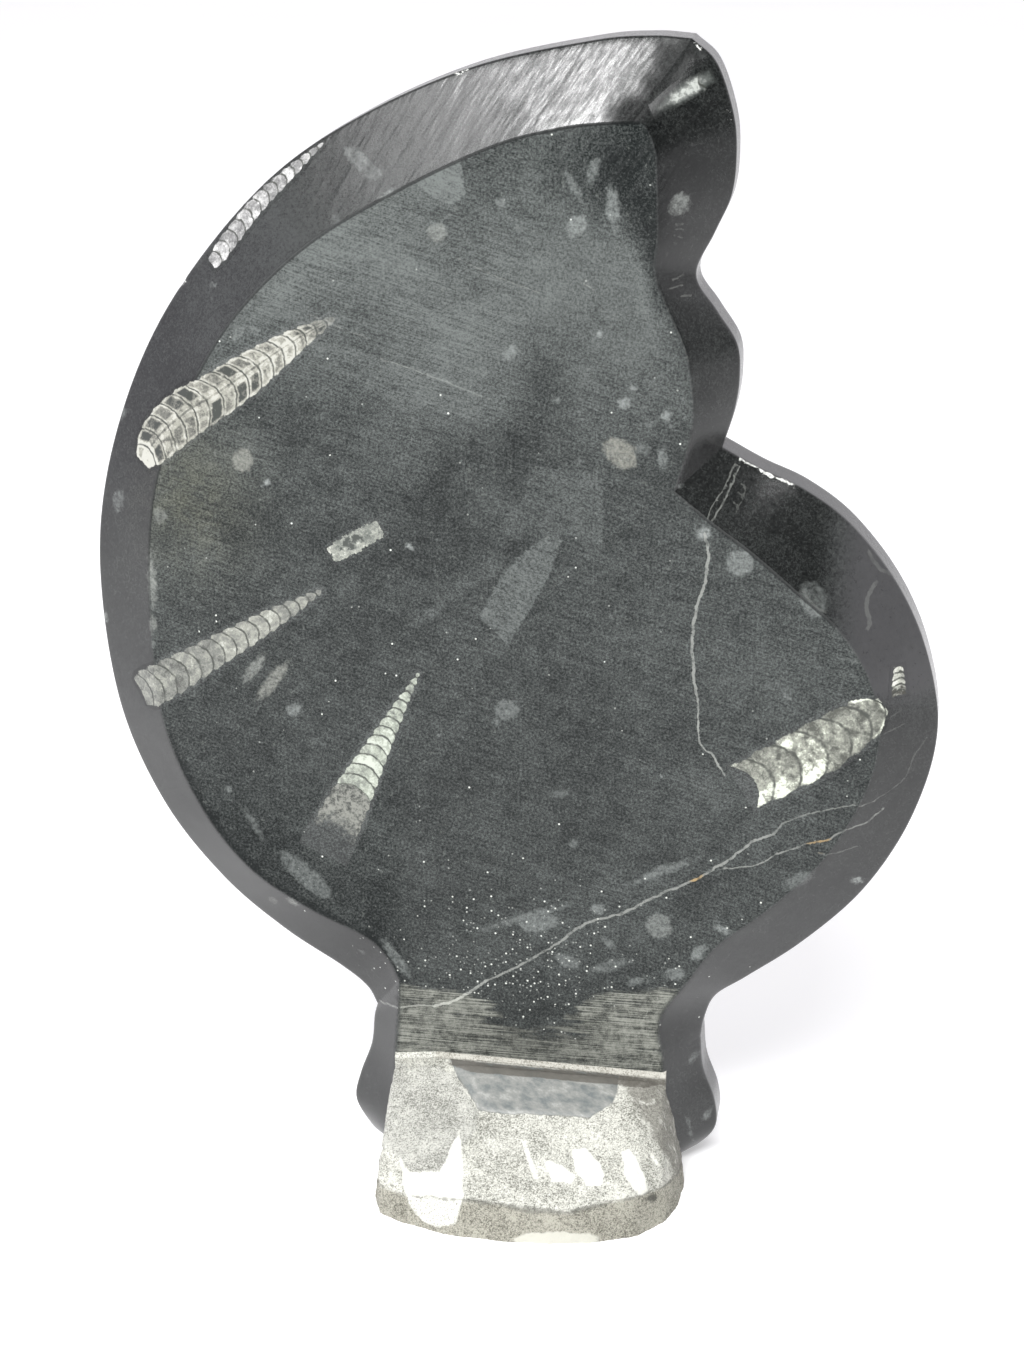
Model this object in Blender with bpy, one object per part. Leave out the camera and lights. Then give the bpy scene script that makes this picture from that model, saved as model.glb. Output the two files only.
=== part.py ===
"""Black fossil limestone cut to a scalloped slab, polished, and left standing on its rough foot.

Metres, +Z up. The polished face looks along -Y, with +X to its right. The origin is on the surface
that the stone stands on, below the middle of its bounding box. Sizes below are in millimetres.
"""

import bisect
import math

import bmesh
import bpy

MM = 0.001

FACE_Y = 0.0  # the flat polished face
BAND_DEPTH = 11.0  # how far the sloping band falls back from the face to the rim
WALL = 12.0  # side wall between the band and the back
BACK_CHAMFER = 1.0  # broken edge around the back
UNDER = 3.0  # stock below the sawn underside, taken off at the end
POCKET_GAP = 0.3  # clearance between a shell and the stone around it
SHELL_SIDES = 4  # bevel resolution of a shell, 12 sides
CHORD = 4.6  # longest straight step along the outline

RIM_Y = FACE_Y + BAND_DEPTH
BACK_Y = RIM_Y + WALL

# The sloping band as sections across it, clockwise from the pointed tip: (x, z) on the rim, then
# (x, z) on the face's edge. Each stretch ends at a crease of the band.
UPPER_SCALLOP = [
    (45.5, 317, 32, 297.5), (52, 311, 35, 296.8), (56.5, 298.5, 37.8, 291), (57.5, 288, 38.5, 284),
    (56.5, 278, 38.8, 276), (52.5, 268.5, 39, 268), (48, 257.5, 38.5, 260),
]
LOWER_SCALLOP = [
    (48, 257.5, 38.5, 260), (53.5, 248.5, 41.5, 251.5), (59, 240, 46.5, 240.5),
    (60, 231.5, 48.5, 230.5), (59, 222.5, 48.8, 219), (56, 212, 44.5, 202.5),
]
SHOULDER = [
    (56, 212, 44.5, 202.5), (66.5, 206.5, 54.5, 194.5), (78, 201.5, 65, 187),
    (90, 193, 77, 177), (101.5, 179.5, 88, 167.5), (109.5, 165, 95.3, 157.5),
    (114.5, 149, 99.3, 147.5), (116, 135.5, 100.8, 137), (113.5, 120, 98.5, 123.5),
    (107, 102.5, 92, 108.5), (96.5, 85.5, 84, 96.5), (81.5, 70, 71.5, 83.5),
    (67, 58.5, 59.5, 73), (58.5, 52, 51, 60.5), (55.5, 45, 44, 48.5), (54.5, 38.5, 45, 36),
]
RIGHT_LEG = [
    (54.5, 38.5, 45, 36), (55.5, 28.5, 45.5, 28), (59, 18.5, 46.5, 18), (59.5, 10, 46.5, 10),
    (55, 4, 46, 4), (48.5, 0.5, 44, 0), (44, -UNDER, 42, -UNDER),
]
UNDERSIDE = [(44, -UNDER, 42, -UNDER), (-37, -UNDER, -30, -UNDER)]
LEFT_LEG = [
    (-37, -UNDER, -30, -UNDER), (-42.5, 2, -31.5, 3), (-46.5, 9.5, -32.2, 11), (-45, 18, -32.2, 20),
    (-41.5, 28, -32, 31), (-40.5, 37, -31, 43), (-39.5, 41, -30.5, 55),
]
GREAT_ARC = [
    (-39.5, 41, -30.5, 55), (-42.5, 46.5, -34, 62), (-50, 52.5, -40.5, 68),
    (-66.5, 63, -56.5, 75.5), (-84, 78, -73, 86.5), (-100.5, 100, -86.5, 104.5),
    (-112, 129, -96.3, 130), (-116, 165, -98.6, 165), (-113, 195, -96, 195),
    (-102.5, 226.5, -87.5, 218.5), (-87, 253, -73, 243), (-64, 279, -53, 263),
    (-39, 296, -30, 277.5), (-9.5, 309, -3.5, 290.5), (20.5, 316, 14, 295.5),
    (35.5, 317.5, 24.5, 297), (45.5, 317, 32, 297.5),
]
STRETCHES = (UPPER_SCALLOP, LOWER_SCALLOP, SHOULDER, RIGHT_LEG, UNDERSIDE, LEFT_LEG, GREAT_ARC)

# Corners of the rough foot, as (x, y, z): its sole, the top of its front wall, the two breaks of its
# sloping top, and the lump behind the slab. The slab stands through the middle of it.
FOOT_SOLE = [
    (-36, 10), (-35, -14), (-33.5, -27), (-30, -35.5), (-22.5, -39.5), (-10, -43.5), (6, -44.6),
    (19, -43.6), (32.5, -40.5), (43, -35.5), (50, -26.5), (52.5, -18), (53, -8), (52, 4),
    (48, 22), (42, 33), (30, 40), (14, 44), (-4, 44.6), (-20, 40), (-30, 32), (-34, 22),
]
FOOT_CORNERS = [
    (-31, -34, 10.5), (-22, -37.5, 11.5), (-6, -41.5, 11.7), (14, -42.3, 10.8),
    (25, -41.5, 10.2), (40, -34.5, 12.5), (48.5, -24.5, 12), (51.5, -10, 8.5),
    (-6.5, -15.7, 24.2), (26, -13.7, 25.2), (37.5, -8, 27.5), (-33, 0, 27), (-30, -14, 21.5),
    (-11, 0, 33), (39, 0, 32), (46, 0, 30.5), (46.5, 5, 29),
    (-31, 31, 9), (-19, 38.5, 11), (-3, 43, 10.5), (15, 42.5, 11.5), (30, 38, 10), (42, 31, 8),
    (-29, 23, 20), (-12, 24, 27), (8, 24, 29), (28, 24, 26), (42, 23, 19), (12, 34, 21.5),
]

# Shells, from apex to mouth, as stations (x, y, z, radius). Their axes lie just under the polished
# surface, so the lower half of each cone is left in the stone.
SHELLS = {
    "orthoceras_rim": [
        (-50.5, 10.2, 286.8, 0.8), (-58, 9.7, 280, 1.7), (-66.5, 9.6, 272.5, 2.3),
        (-74, 9.4, 263.5, 2.7), (-79, 9.1, 256.4, 2.8), (-80.6, 9.0, 254, 2.0),
    ],
    "orthoceras_upper_left": [
        (-44.7, 0.4, 245.3, 0.8), (-55.3, 0.4, 239, 3.4), (-67.3, 0.4, 230.5, 5.5),
        (-78.5, 0.6, 222.7, 6.4), (-85.5, 1.0, 218.3, 6.8), (-92.5, 2.0, 212.3, 6.6),
        (-97.2, 3.2, 206.8, 5.4), (-99.6, 4.2, 203, 2.6),
    ],
    "orthoceras_left": [
        (-50, 0.4, 170.4, 0.7), (-62, 0.4, 162.8, 2.8), (-73, 0.4, 155.8, 3.9),
        (-85, 0.4, 148.2, 4.8), (-94, 0.7, 142.5, 5.5), (-101.5, 1.5, 137.6, 5.2),
        (-103.4, 2.0, 136.4, 4.2),
    ],
    "orthoceras_lower": [
        (-24, 0.4, 147.9, 0.6), (-30, 0.4, 136.3, 2.2), (-36.5, 0.4, 123.6, 3.9),
        (-42.5, 0.4, 111.9, 5.6), (-47, 0.4, 102.5, 6.5), (-51.2, 0.4, 94, 6.7),
    ],
    "orthoceras_right": [
        (101, 1.4, 142.7, 5.0), (97.5, 0.8, 140.6, 6.2), (90, 0.5, 136, 6.9),
        (78, 0.4, 128.8, 7.4), (66, 0.4, 121.5, 7.3),
    ],
    "orthoceras_small_right": [
        (104.6, 4.7, 156, 1.3), (105, 4.6, 151, 1.6), (105.2, 4.3, 146.5, 1.8),
    ],
    "orthoceras_tip": [
        (39.5, 3.8, 301.3, 1.6), (44, 6.3, 304, 2.5), (48, 8.4, 306.5, 2.4), (50, 9.3, 307.7, 1.6),
    ],
    "orthoceras_fragment": [
        (-48, 0.4, 179.8, 2.3), (-41.8, 0.4, 183.9, 3.1), (-36, 0.4, 188.3, 2.2),
    ],
}

STONE_COLOUR = (0.075, 0.082, 0.08, 1)
STONE_ROUGHNESS = 0.35
SHELL_COLOUR = (0.42, 0.44, 0.38, 1)
SHELL_ROUGHNESS = 0.3


def clear_scene():
    for obj in list(bpy.data.objects):
        bpy.data.objects.remove(obj)


def collection(name, hidden=False):
    made = bpy.data.collections.new(name)
    made.hide_render = hidden
    bpy.context.scene.collection.children.link(made)
    return made


def material(name, colour, roughness):
    made = bpy.data.materials.new(name)
    made.use_nodes = True
    shader = made.node_tree.nodes["Principled BSDF"]
    shader.inputs["Base Color"].default_value = colour
    shader.inputs["Roughness"].default_value = roughness
    shader.inputs["Metallic"].default_value = 0
    return made


def smooth_sections(sections, steps=16):
    """A dense Catmull-Rom run through the sections."""
    ends = [tuple(2 * a - b for a, b in zip(sections[0], sections[1]))]
    ends += [*sections, tuple(2 * a - b for a, b in zip(sections[-1], sections[-2]))]
    run = []
    for quads in zip(ends, ends[1:], ends[2:], ends[3:]):
        for step in range(steps):
            t = step / steps
            run.append(tuple(
                b + t / 2 * (c - a + t * (2 * a - 5 * b + 4 * c - d + t * (3 * (b - c) + d - a)))
                for a, b, c, d in zip(*quads)
            ))
    return run + [sections[-1]]


def even_sections(sections):
    """Sections at even steps of about a chord along the rim, without the last."""
    run = smooth_sections(sections)
    reach = [0]
    for start, end in zip(run, run[1:]):
        reach.append(reach[-1] + math.dist(start[:2], end[:2]))
    count = math.ceil(reach[-1] / CHORD)
    picked = []
    for step in range(count):
        along = reach[-1] * step / count
        i = min(bisect.bisect_right(reach, along), len(run) - 1)
        share = (along - reach[i - 1]) / (reach[i] - reach[i - 1])
        picked.append(tuple(a + share * (b - a) for a, b in zip(run[i - 1], run[i])))
    return picked


def inset(loop, distance):
    """The loop moved inwards, for a loop that runs clockwise."""
    moved = []
    for i, (x, z) in enumerate(loop):
        (x0, z0), (x1, z1) = loop[i - 1], loop[(i + 1) % len(loop)]
        length = math.dist((x0, z0), (x1, z1))
        moved.append((x + distance * (z1 - z0) / length, z - distance * (x1 - x0) / length))
    return moved


def mesh_object(name, bm, home):
    bmesh.ops.recalc_face_normals(bm, faces=bm.faces)
    mesh = bpy.data.meshes.new(name)
    bm.to_mesh(mesh)
    bm.free()
    made = bpy.data.objects.new(name, mesh)
    home.objects.link(made)
    return made


def slab(name, home):
    """The bare slab: a loft from the face's edge over the rim to the back."""
    across = [section for stretch in STRETCHES for section in even_sections(stretch)]
    rim = [section[:2] for section in across]
    edge = [section[2:] for section in across]
    rings = [
        (edge, FACE_Y),
        (rim, RIM_Y),
        (rim, BACK_Y - BACK_CHAMFER),
        (inset(rim, BACK_CHAMFER), BACK_Y),
    ]
    bm = bmesh.new()
    loops = [[bm.verts.new((x * MM, y * MM, z * MM)) for x, z in ring] for ring, y in rings]
    for front, back in zip(loops, loops[1:]):
        for i in range(len(front)):
            bm.faces.new((front[i - 1], front[i], back[i], back[i - 1]))
    bm.faces.new(loops[0])
    bm.faces.new(loops[-1])
    return mesh_object(name, bm, home)


def foot(name, home):
    """The rough foot, broken to flat facets all round."""
    bm = bmesh.new()
    for x, y in FOOT_SOLE:
        bm.verts.new((x * MM, y * MM, -UNDER * MM))
        bm.verts.new((x * MM, y * MM, 0))
    for x, y, z in FOOT_CORNERS:
        bm.verts.new((x * MM, y * MM, z * MM))
    hull = bmesh.ops.convex_hull(bm, input=bm.verts)
    bmesh.ops.delete(bm, geom=hull["geom_interior"], context="VERTS")
    return mesh_object(name, bm, home)


def saw_cut(name, home):
    """Everything below the surface that the stone stands on."""
    bm = bmesh.new()
    bmesh.ops.create_cube(bm, size=1)
    bmesh.ops.scale(bm, vec=(0.4, 0.4, 0.1), verts=bm.verts)
    bmesh.ops.translate(bm, vec=(0, 0, -0.05), verts=bm.verts)
    return mesh_object(name, bm, home)


def lengthened(stations, gap):
    """The stations with both ends moved out along the shell by the gap."""
    def beyond(end, inner):
        length = math.dist(end[:3], inner[:3])
        moved = [a + gap * (a - b) / length for a, b in zip(end[:3], inner[:3])]
        return (*moved, end[3])
    return [beyond(stations[0], stations[1]), *stations[1:-1], beyond(stations[-1], stations[-2])]


def shell(name, stations, home, gap=0.0):
    """A whole tapered shell as a closed mesh, larger all round by the gap."""
    if gap:
        stations = lengthened(stations, gap)
    curve = bpy.data.curves.new(name, "CURVE")
    curve.dimensions = "3D"
    curve.bevel_depth = MM
    curve.bevel_resolution = SHELL_SIDES
    curve.use_fill_caps = True
    spline = curve.splines.new("POLY")
    spline.points.add(len(stations) - 1)
    for point, (x, y, z, radius) in zip(spline.points, stations):
        point.co = (x * MM, y * MM, z * MM, 1)
        point.radius = radius + gap
    tube = bpy.data.objects.new(name + "_curve", curve)
    home.objects.link(tube)
    graph = bpy.context.evaluated_depsgraph_get()
    mesh = bpy.data.meshes.new_from_object(tube.evaluated_get(graph))
    bm = bmesh.new()
    bm.from_mesh(mesh)
    bmesh.ops.remove_doubles(bm, verts=bm.verts, dist=1e-6)
    made = mesh_object(name, bm, home)
    made.matrix_world = tube.matrix_world.copy()
    bpy.data.objects.remove(tube)
    return made


def as_cutter(obj):
    obj.hide_render = True
    obj.display_type = "WIRE"
    return obj


def combine(obj, operation, other):
    boolean = obj.modifiers.new(operation.lower() + "_" + other.name, "BOOLEAN")
    boolean.operation = operation
    boolean.solver = "EXACT"
    boolean.object = other


def build():
    clear_scene()
    parts = collection("orthoceras_fossil")
    cutters = collection("cutters", hidden=True)

    stone = slab("stone", parts)
    stone.data.materials.append(material("limestone", STONE_COLOUR, STONE_ROUGHNESS))
    combine(stone, "UNION", as_cutter(foot("rough_foot", cutters)))
    combine(stone, "DIFFERENCE", as_cutter(saw_cut("saw_cut", cutters)))

    polished = as_cutter(slab("polished_surface", cutters))
    for name, stations in SHELLS.items():
        half = shell(name, stations, parts)
        half.data.materials.append(material(name + "_calcite", SHELL_COLOUR, SHELL_ROUGHNESS))
        combine(half, "INTERSECT", polished)
        combine(stone, "DIFFERENCE", as_cutter(shell(name + "_pocket", stations, cutters, POCKET_GAP)))


build()
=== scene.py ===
"""Dressed scene of the fossil sculpture: one finely cut stone, eight shells in it, a floor and a studio.

Positions are in millimetres in the frame of the CAD, +Z up, the polished face looking along -Y.
"""

import bisect
import math
from functools import cached_property

import bmesh
import bpy
import numpy as np
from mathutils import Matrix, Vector, kdtree, noise
from mathutils.bvhtree import BVHTree
from mathutils.geometry import delaunay_2d_cdt


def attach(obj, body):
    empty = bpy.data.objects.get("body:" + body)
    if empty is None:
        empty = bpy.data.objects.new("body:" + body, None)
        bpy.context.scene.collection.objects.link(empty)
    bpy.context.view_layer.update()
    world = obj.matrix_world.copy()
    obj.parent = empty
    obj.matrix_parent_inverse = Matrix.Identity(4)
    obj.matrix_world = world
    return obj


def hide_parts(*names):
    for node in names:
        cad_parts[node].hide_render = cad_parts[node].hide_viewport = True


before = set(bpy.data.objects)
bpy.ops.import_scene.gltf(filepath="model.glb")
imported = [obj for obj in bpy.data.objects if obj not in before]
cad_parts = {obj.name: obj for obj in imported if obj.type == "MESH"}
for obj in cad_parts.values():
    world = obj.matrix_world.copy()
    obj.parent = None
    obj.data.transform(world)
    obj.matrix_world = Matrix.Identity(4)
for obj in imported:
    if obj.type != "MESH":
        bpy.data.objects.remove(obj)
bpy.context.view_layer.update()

MM = 0.001

# ---------------------------------------------------------------- the cut slab

FACE_Y = 0.0
BAND_DEPTH = 11.0
WALL = 12.0
BACK_ROUND = 1.0
UNDER = 3.0
RIM_Y = FACE_Y + BAND_DEPTH
BACK_Y = RIM_Y + WALL

# Sections across the sloping band, clockwise from the pointed tip: (x, z) on the rim, (x, z) on the edge.
SCALLOPS = [
    (52, 311, 35, 296.8), (56.5, 298.5, 37.8, 291), (57.5, 288, 38.5, 284),
    (56.5, 278, 38.8, 276), (52.5, 268.5, 39, 268),
    (48, 257.5, 38.5, 260), (53.5, 248.5, 41.5, 251.5), (59, 240, 46.5, 240.5),
    (60, 231.5, 48.5, 230.5), (59, 222.5, 48.8, 219), (56, 212, 44.5, 202.5),
]
SHOULDER = [
    (66.5, 206.5, 54.5, 194.5), (78, 201.5, 65, 187),
    (90, 193, 77, 177), (101.5, 179.5, 88, 167.5), (109.5, 165, 95.3, 157.5),
    (114.5, 149, 99.3, 147.5), (116, 135.5, 100.8, 137), (113.5, 120, 98.5, 123.5),
    (107, 102.5, 92, 108.5), (96.5, 85.5, 84, 96.5), (81.5, 70, 71.5, 83.5),
    (67, 58.5, 59.5, 73), (58.5, 52, 51, 60.5), (55.5, 45, 44, 48.5), (54.5, 38.5, 45, 36),
]
RIGHT_LEG = [
    (55.5, 28.5, 45.5, 28), (59, 18.5, 46.5, 18), (59.5, 10, 46.5, 10),
    (55, 4, 46, 4), (48.5, 0.5, 44, 0), (44, -UNDER - 1, 42, -UNDER + 1),
]
UNDERSIDE = [(3, -UNDER - 1, 5, -UNDER + 1), (-37, -UNDER - 1, -30, -UNDER + 1)]
LEFT_LEG = [
    (-42.5, 2, -31.5, 3), (-46.5, 9.5, -32.2, 11), (-45, 18, -32.2, 20),
    (-41.5, 28, -32, 31), (-40.5, 37, -31, 43), (-39.5, 41, -30.5, 55),
]
GREAT_ARC = [
    (-42.5, 46.5, -34, 62), (-50, 52.5, -40.5, 68),
    (-66.5, 63, -56.5, 75.5), (-84, 78, -73, 86.5), (-100.5, 100, -86.5, 104.5),
    (-112, 129, -96.3, 130), (-116, 165, -98.6, 165), (-113, 195, -96, 195),
    (-102.5, 226.5, -87.5, 218.5), (-87, 253, -73, 243), (-64, 279, -53, 263),
    (-39, 296, -30, 277.5), (-9.5, 309, -3.5, 290.5), (20.5, 316, 14, 295.5),
    (35.5, 317.5, 24.5, 297), (45.5, 317, 32, 297.5),
]
RUNS = (SCALLOPS, SHOULDER, RIGHT_LEG, UNDERSIDE, LEFT_LEG, GREAT_ARC)
# A stretch starts with the section on its first crease, where the one before it ends.
STRETCHES = [[RUNS[i - 1][-1], *run] for i, run in enumerate(RUNS)]
TIP_CREASE = GREAT_ARC[-1][:2], GREAT_ARC[-1][2:]  # from the pointed tip to the face

STEP = 1.1  # mean spacing of the mesh on the front
CREASE_STEP = 0.25  # first and last section of a stretch stand this near its crease
ROUND = 0.6  # reach of the rounded arris along each of its faces
BAND_RINGS = 13
WALL_RINGS = 8
BACK_STEP = 3.5  # mean spacing of the mesh on the flat back
VEIN_STEP = 0.8  # spacing of the mesh's points along a vein
AHEAD_Y = -60.0  # in front of everything: rays into the stone start here
INTO_STONE = (0, 1, 0)

# ---------------------------------------------------------------- markings on the polished front

# Calcite veins as (half width, strength, [(x, z) ...]).
VEINS = [
    (0.1, 0.35, [(59.6, 208.3), (57.1, 202.7), (54.8, 199.1), (53, 195)]),
    (0.16, 0.4, [(60.8, 207.5), (59, 203), (57.1, 199), (54.6, 195)]),
    (0.34, 0.66, [(53, 191.9), (53.8, 188.6), (54, 184.5), (53.5, 179), (51.8, 172.5),
                  (50.7, 166.8), (50.5, 158.9), (51, 152.4), (51.8, 146.8)]),
    (0.2, 0.72, [(51.8, 146.8), (52.6, 142), (52.7, 134.5), (54.4, 131.1), (56.3, 129.8),
                 (58.3, 126.5), (60.1, 124)]),
    (0.12, 0.16, [(113.3, 134.9), (110.1, 129.7), (108.2, 124), (103.9, 120.5), (100.2, 118.2)]),
    (0.16, 0.4, [(100.2, 118.2), (96.6, 117.3), (93.6, 117.2), (86.8, 115.3), (80.7, 113.1),
                 (76.2, 110.7), (73.9, 107.6)]),
    (0.3, 0.66, [(73.9, 107.6), (68.5, 105.2), (64, 101), (58.7, 96.7), (54.1, 93.3),
                 (47.9, 89.8), (41.6, 86.3), (37.7, 83.9), (32.2, 80.4), (23, 77),
                 (14.6, 69.8)]),
    (0.26, 0.62, [(14.6, 69.8), (1.3, 60.6), (-5.8, 56.6)]),
    (0.38, 0.85, [(-5.8, 56.6), (-10.1, 52.8), (-14.5, 49.9), (-20.3, 47.5)]),
    (0.2, 0.5, [(-20.3, 47.5), (-26.1, 47), (-33, 45), (-38.4, 42.8)]),
    (0.2, 0.5, [(102.7, 115.3), (100.4, 113.2), (98.4, 111.3), (95.2, 110.7),
                (91.6, 109.2), (88.6, 106.9), (84, 105.7), (79.4, 103.7)]),
    (0.15, 0.6, [(79.4, 103.7), (74.9, 101.8), (71.2, 98.8), (66.6, 97.3), (60.4, 96.2)]),
    (0.14, 0.25, [(86.1, 102.9), (88.8, 102.7), (93.4, 103.2), (96.2, 103.9)]),
    (0.4, 0.14, [(95.3, 185.9), (97.7, 182), (101.4, 179.5)]),
    (0.5, 0.16, [(98, 177.7), (96, 175.2), (95.8, 171.5), (96.8, 167.9), (96.3, 166.5)]),
    (0.14, 0.14, [(43.1, 272.3), (45.1, 271.7)]), (0.14, 0.12, [(43.1, 270.7), (45.2, 270.2)]),
    (0.14, 0.12, [(43, 268.9), (44.8, 268.2)]), (0.16, 0.2, [(42.8, 257.5), (45.3, 258)]),
    (0.16, 0.2, [(42.2, 255.6), (45, 255.9)]), (0.16, 0.2, [(44.9, 253.1), (47.5, 253)]),
    (0.12, 0.16, [(61.4, 203.6), (62.9, 202.6), (62.6, 201.2)]),
    (0.12, 0.16, [(60.6, 201.4), (62.2, 200.6), (61.8, 199.2)]),
    (0.12, 0.16, [(59.8, 199.2), (61.3, 198.4), (60.8, 197)]),
    (0.12, 0.3, [(-33, 235), (-20, 231), (-6, 226)]), (0.1, 0.25, [(-52, 246), (-36, 240)]),
    (0.1, 0.25, [(-12, 262), (2, 256), (9, 254)]), (0.12, 0.35, [(20.5, 256.5), (23, 255)]),
    (0.3, 0.15, [(85.2, 171.8), (82, 173.4), (79, 177)]),
    (0.12, 0.12, [(98.6, 137.5), (104, 139), (108, 140.2)]),
    (0.12, 0.12, [(99, 141), (103, 142.4), (106, 144)]),
]

RUST = [(52.8, 93.6, 2.6), (86, 106.3, 3.8)]  # rusty spots on the veins: (x, z, reach)

# Blotches in the stone as (x, z, half length, half width, turn in degrees, tone, warmth).
BLOTCHES = [
    (-70.8, 205.8, 3.3, 2.9, 70, 0.5, 0.4), (-94.5, 189.3, 2.4, 1.9, 80, 0.3, 0.2),
    (-108.5, 190.6, 3.2, 1.9, 70, 0.35, 0), (-70.9, 240.3, 2.2, 1.2, 60, 0.28, 0),
    (-66.8, 241, 1.7, 1.2, 10, 0.2, 0), (-17.5, 268.4, 2.6, 2.3, 20, 0.4, 0.2),
    (-30.2, 278.1, 2.3, 0.7, 25, 0.6, 0), (-39.5, 285.8, 4, 2, -30, 0.3, 0),
    (-34.7, 282.5, 2.6, 1.5, 10, 0.25, 0), (-44.3, 270.7, 2, 1, 35, 0.25, 0),
    (-79, 251.4, 0.7, 0.5, 0, 0.7, 0), (-78.7, 247.8, 0.4, 0.4, 0, 0.5, 0),
    (-64.4, 199.8, 1.2, 0.7, 30, 0.7, 0), (-25.7, 183.9, 1.1, 0.6, 150, 0.8, 0),
    (-106.8, 214.4, 1.5, 0.8, 60, 0.35, 0), (44.2, 277, 2.8, 2.3, 60, 0.6, 0.1),
    (18.6, 271.3, 3.2, 2.2, 50, 0.42, 0), (22.5, 285.5, 3.4, 1.4, 75, 0.34, 0),
    (27.6, 276.5, 5.6, 1.7, 98, 0.4, 0), (17.5, 281.5, 4.5, 0.9, 120, 0.3, 0),
    (-0.9, 276.5, 1.6, 1.3, 0, 0.3, 0), (24.8, 243.7, 0.9, 0.9, 0, 0.65, 0),
    (1.4, 237.8, 2.4, 1.6, 60, 0.35, 0), (33.5, 230.2, 1, 0.9, 0, 0.5, 0),
    (31.2, 225.6, 1.7, 1.4, 20, 0.5, 0), (13.5, 225.9, 1, 0.8, 0, 0.4, 0),
    (42.4, 222.9, 1.5, 1.3, 70, 0.55, 0), (43.8, 220, 0.8, 0.6, 0, 0.4, 0),
    (37.8, 220.5, 1, 0.8, 0, 0.3, 0), (30.4, 212.4, 4.9, 3.6, 140, 0.5, 0.5),
    (41.6, 211.6, 2.5, 1.4, 95, 0.35, 0), (36.3, 213.8, 1.9, 1.6, 0, 0.22, 0),
    (19.9, 209.8, 0.9, 0.8, 0, 0.35, 0), (52.8, 191.8, 2.2, 1.7, 60, 0.62, 0),
    (45.8, 203.9, 1, 0.5, 170, 0.6, 0), (62.4, 184.1, 3.7, 3.4, 0, 0.4, 0),
    (81.8, 174.7, 4.6, 3.4, 120, 0.3, 0), (81.1, 94.5, 4.6, 2, 30, 0.3, 0),
    (96.5, 91.8, 1.7, 1.2, 150, 1, 0), (43.1, 77.6, 3.8, 3.6, 90, 0.4, 0.1),
    (60.9, 77.8, 2.2, 1.1, 160, 0.55, 0), (54.4, 70.9, 2.2, 1.4, 45, 0.45, 0),
    (43.1, 94.3, 3.2, 1.4, 30, 0.3, 0), (42.8, 122.5, 0.5, 0.5, 0, 1, 0),
    (75.7, 147.7, 1.6, 0.5, 150, 0.4, 0), (-97.6, 170.7, 7, 1.2, 90, 0.55, 0.2),
    (-98, 157.7, 2.8, 0.9, 92, 0.55, 0.2), (-98.2, 151.8, 0.6, 0.5, 0, 0.5, 0),
    (-115, 155.4, 1.4, 0.9, 90, 0.6, 0), (-69.6, 147, 5, 1.5, 50, 0.46, 0.2),
    (-64.6, 143.4, 6.6, 1.8, 54, 0.5, 0.35), (-58.9, 135.2, 2.4, 1.9, 30, 0.42, 0),
    (-57, 85.5, 9.5, 3, -42, 0.3, 0), (-78.5, 110.6, 1.2, 0.8, -30, 0.5, 0),
    (-71.7, 100.4, 5, 1, -60, 0.25, 0), (-31.4, 61.6, 7, 1.5, -56, 0.34, 0),
    (-68, 74.7, 1.7, 1.4, 0, 0.3, 0.3), (-61.2, 76.3, 1.9, 1.3, -25, 0.65, 0.2),
    (-42.2, 60.7, 1, 0.8, 0, 0.3, 0), (-18.1, 130.5, 0.5, 0.5, 0, 0.8, 0),
    (-24, 100.8, 0.4, 0.4, 0, 0.8, 0), (0.3, 138.9, 3.4, 3, 0, 0.28, 0),
    (9.5, 75.6, 5.6, 2.5, 15, 0.4, 0), (14.7, 115.2, 4, 1.2, 10, 0.22, 0),
    (47.9, 63.3, 2.8, 2, 0, 0.4, 0), (53.6, 69.3, 1.8, 1.4, 30, 0.45, 0),
    (17.8, 64.8, 3.8, 2, -20, 0.32, 0), (29.5, 64.2, 6, 1.7, 20, 0.28, 0),
    (26.1, 81.4, 1.9, 1.7, 0, 0.42, 0), (29.3, 71.1, 2.2, 1.2, -40, 0.3, 0),
    (6, 77.5, 12, 1.1, 22, 0.34, 0), (43, 93.8, 10, 1, 27, 0.36, 0),
    (37, 60.1, 2.5, 1.2, 30, 0.36, 0), (19.1, 100.9, 1.3, 1.4, 0, 0.3, 0),
    (57.3, 14.8, 1.7, 1.1, 60, 0.5, 0), (52.9, 33, 1.9, 1.1, 45, 0.4, 0),
    (52.6, 12.1, 3.2, 0.4, 100, 0.6, 0), (-2.2, 135.3, 1.2, 1, 0, 0.25, 0),
]

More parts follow.
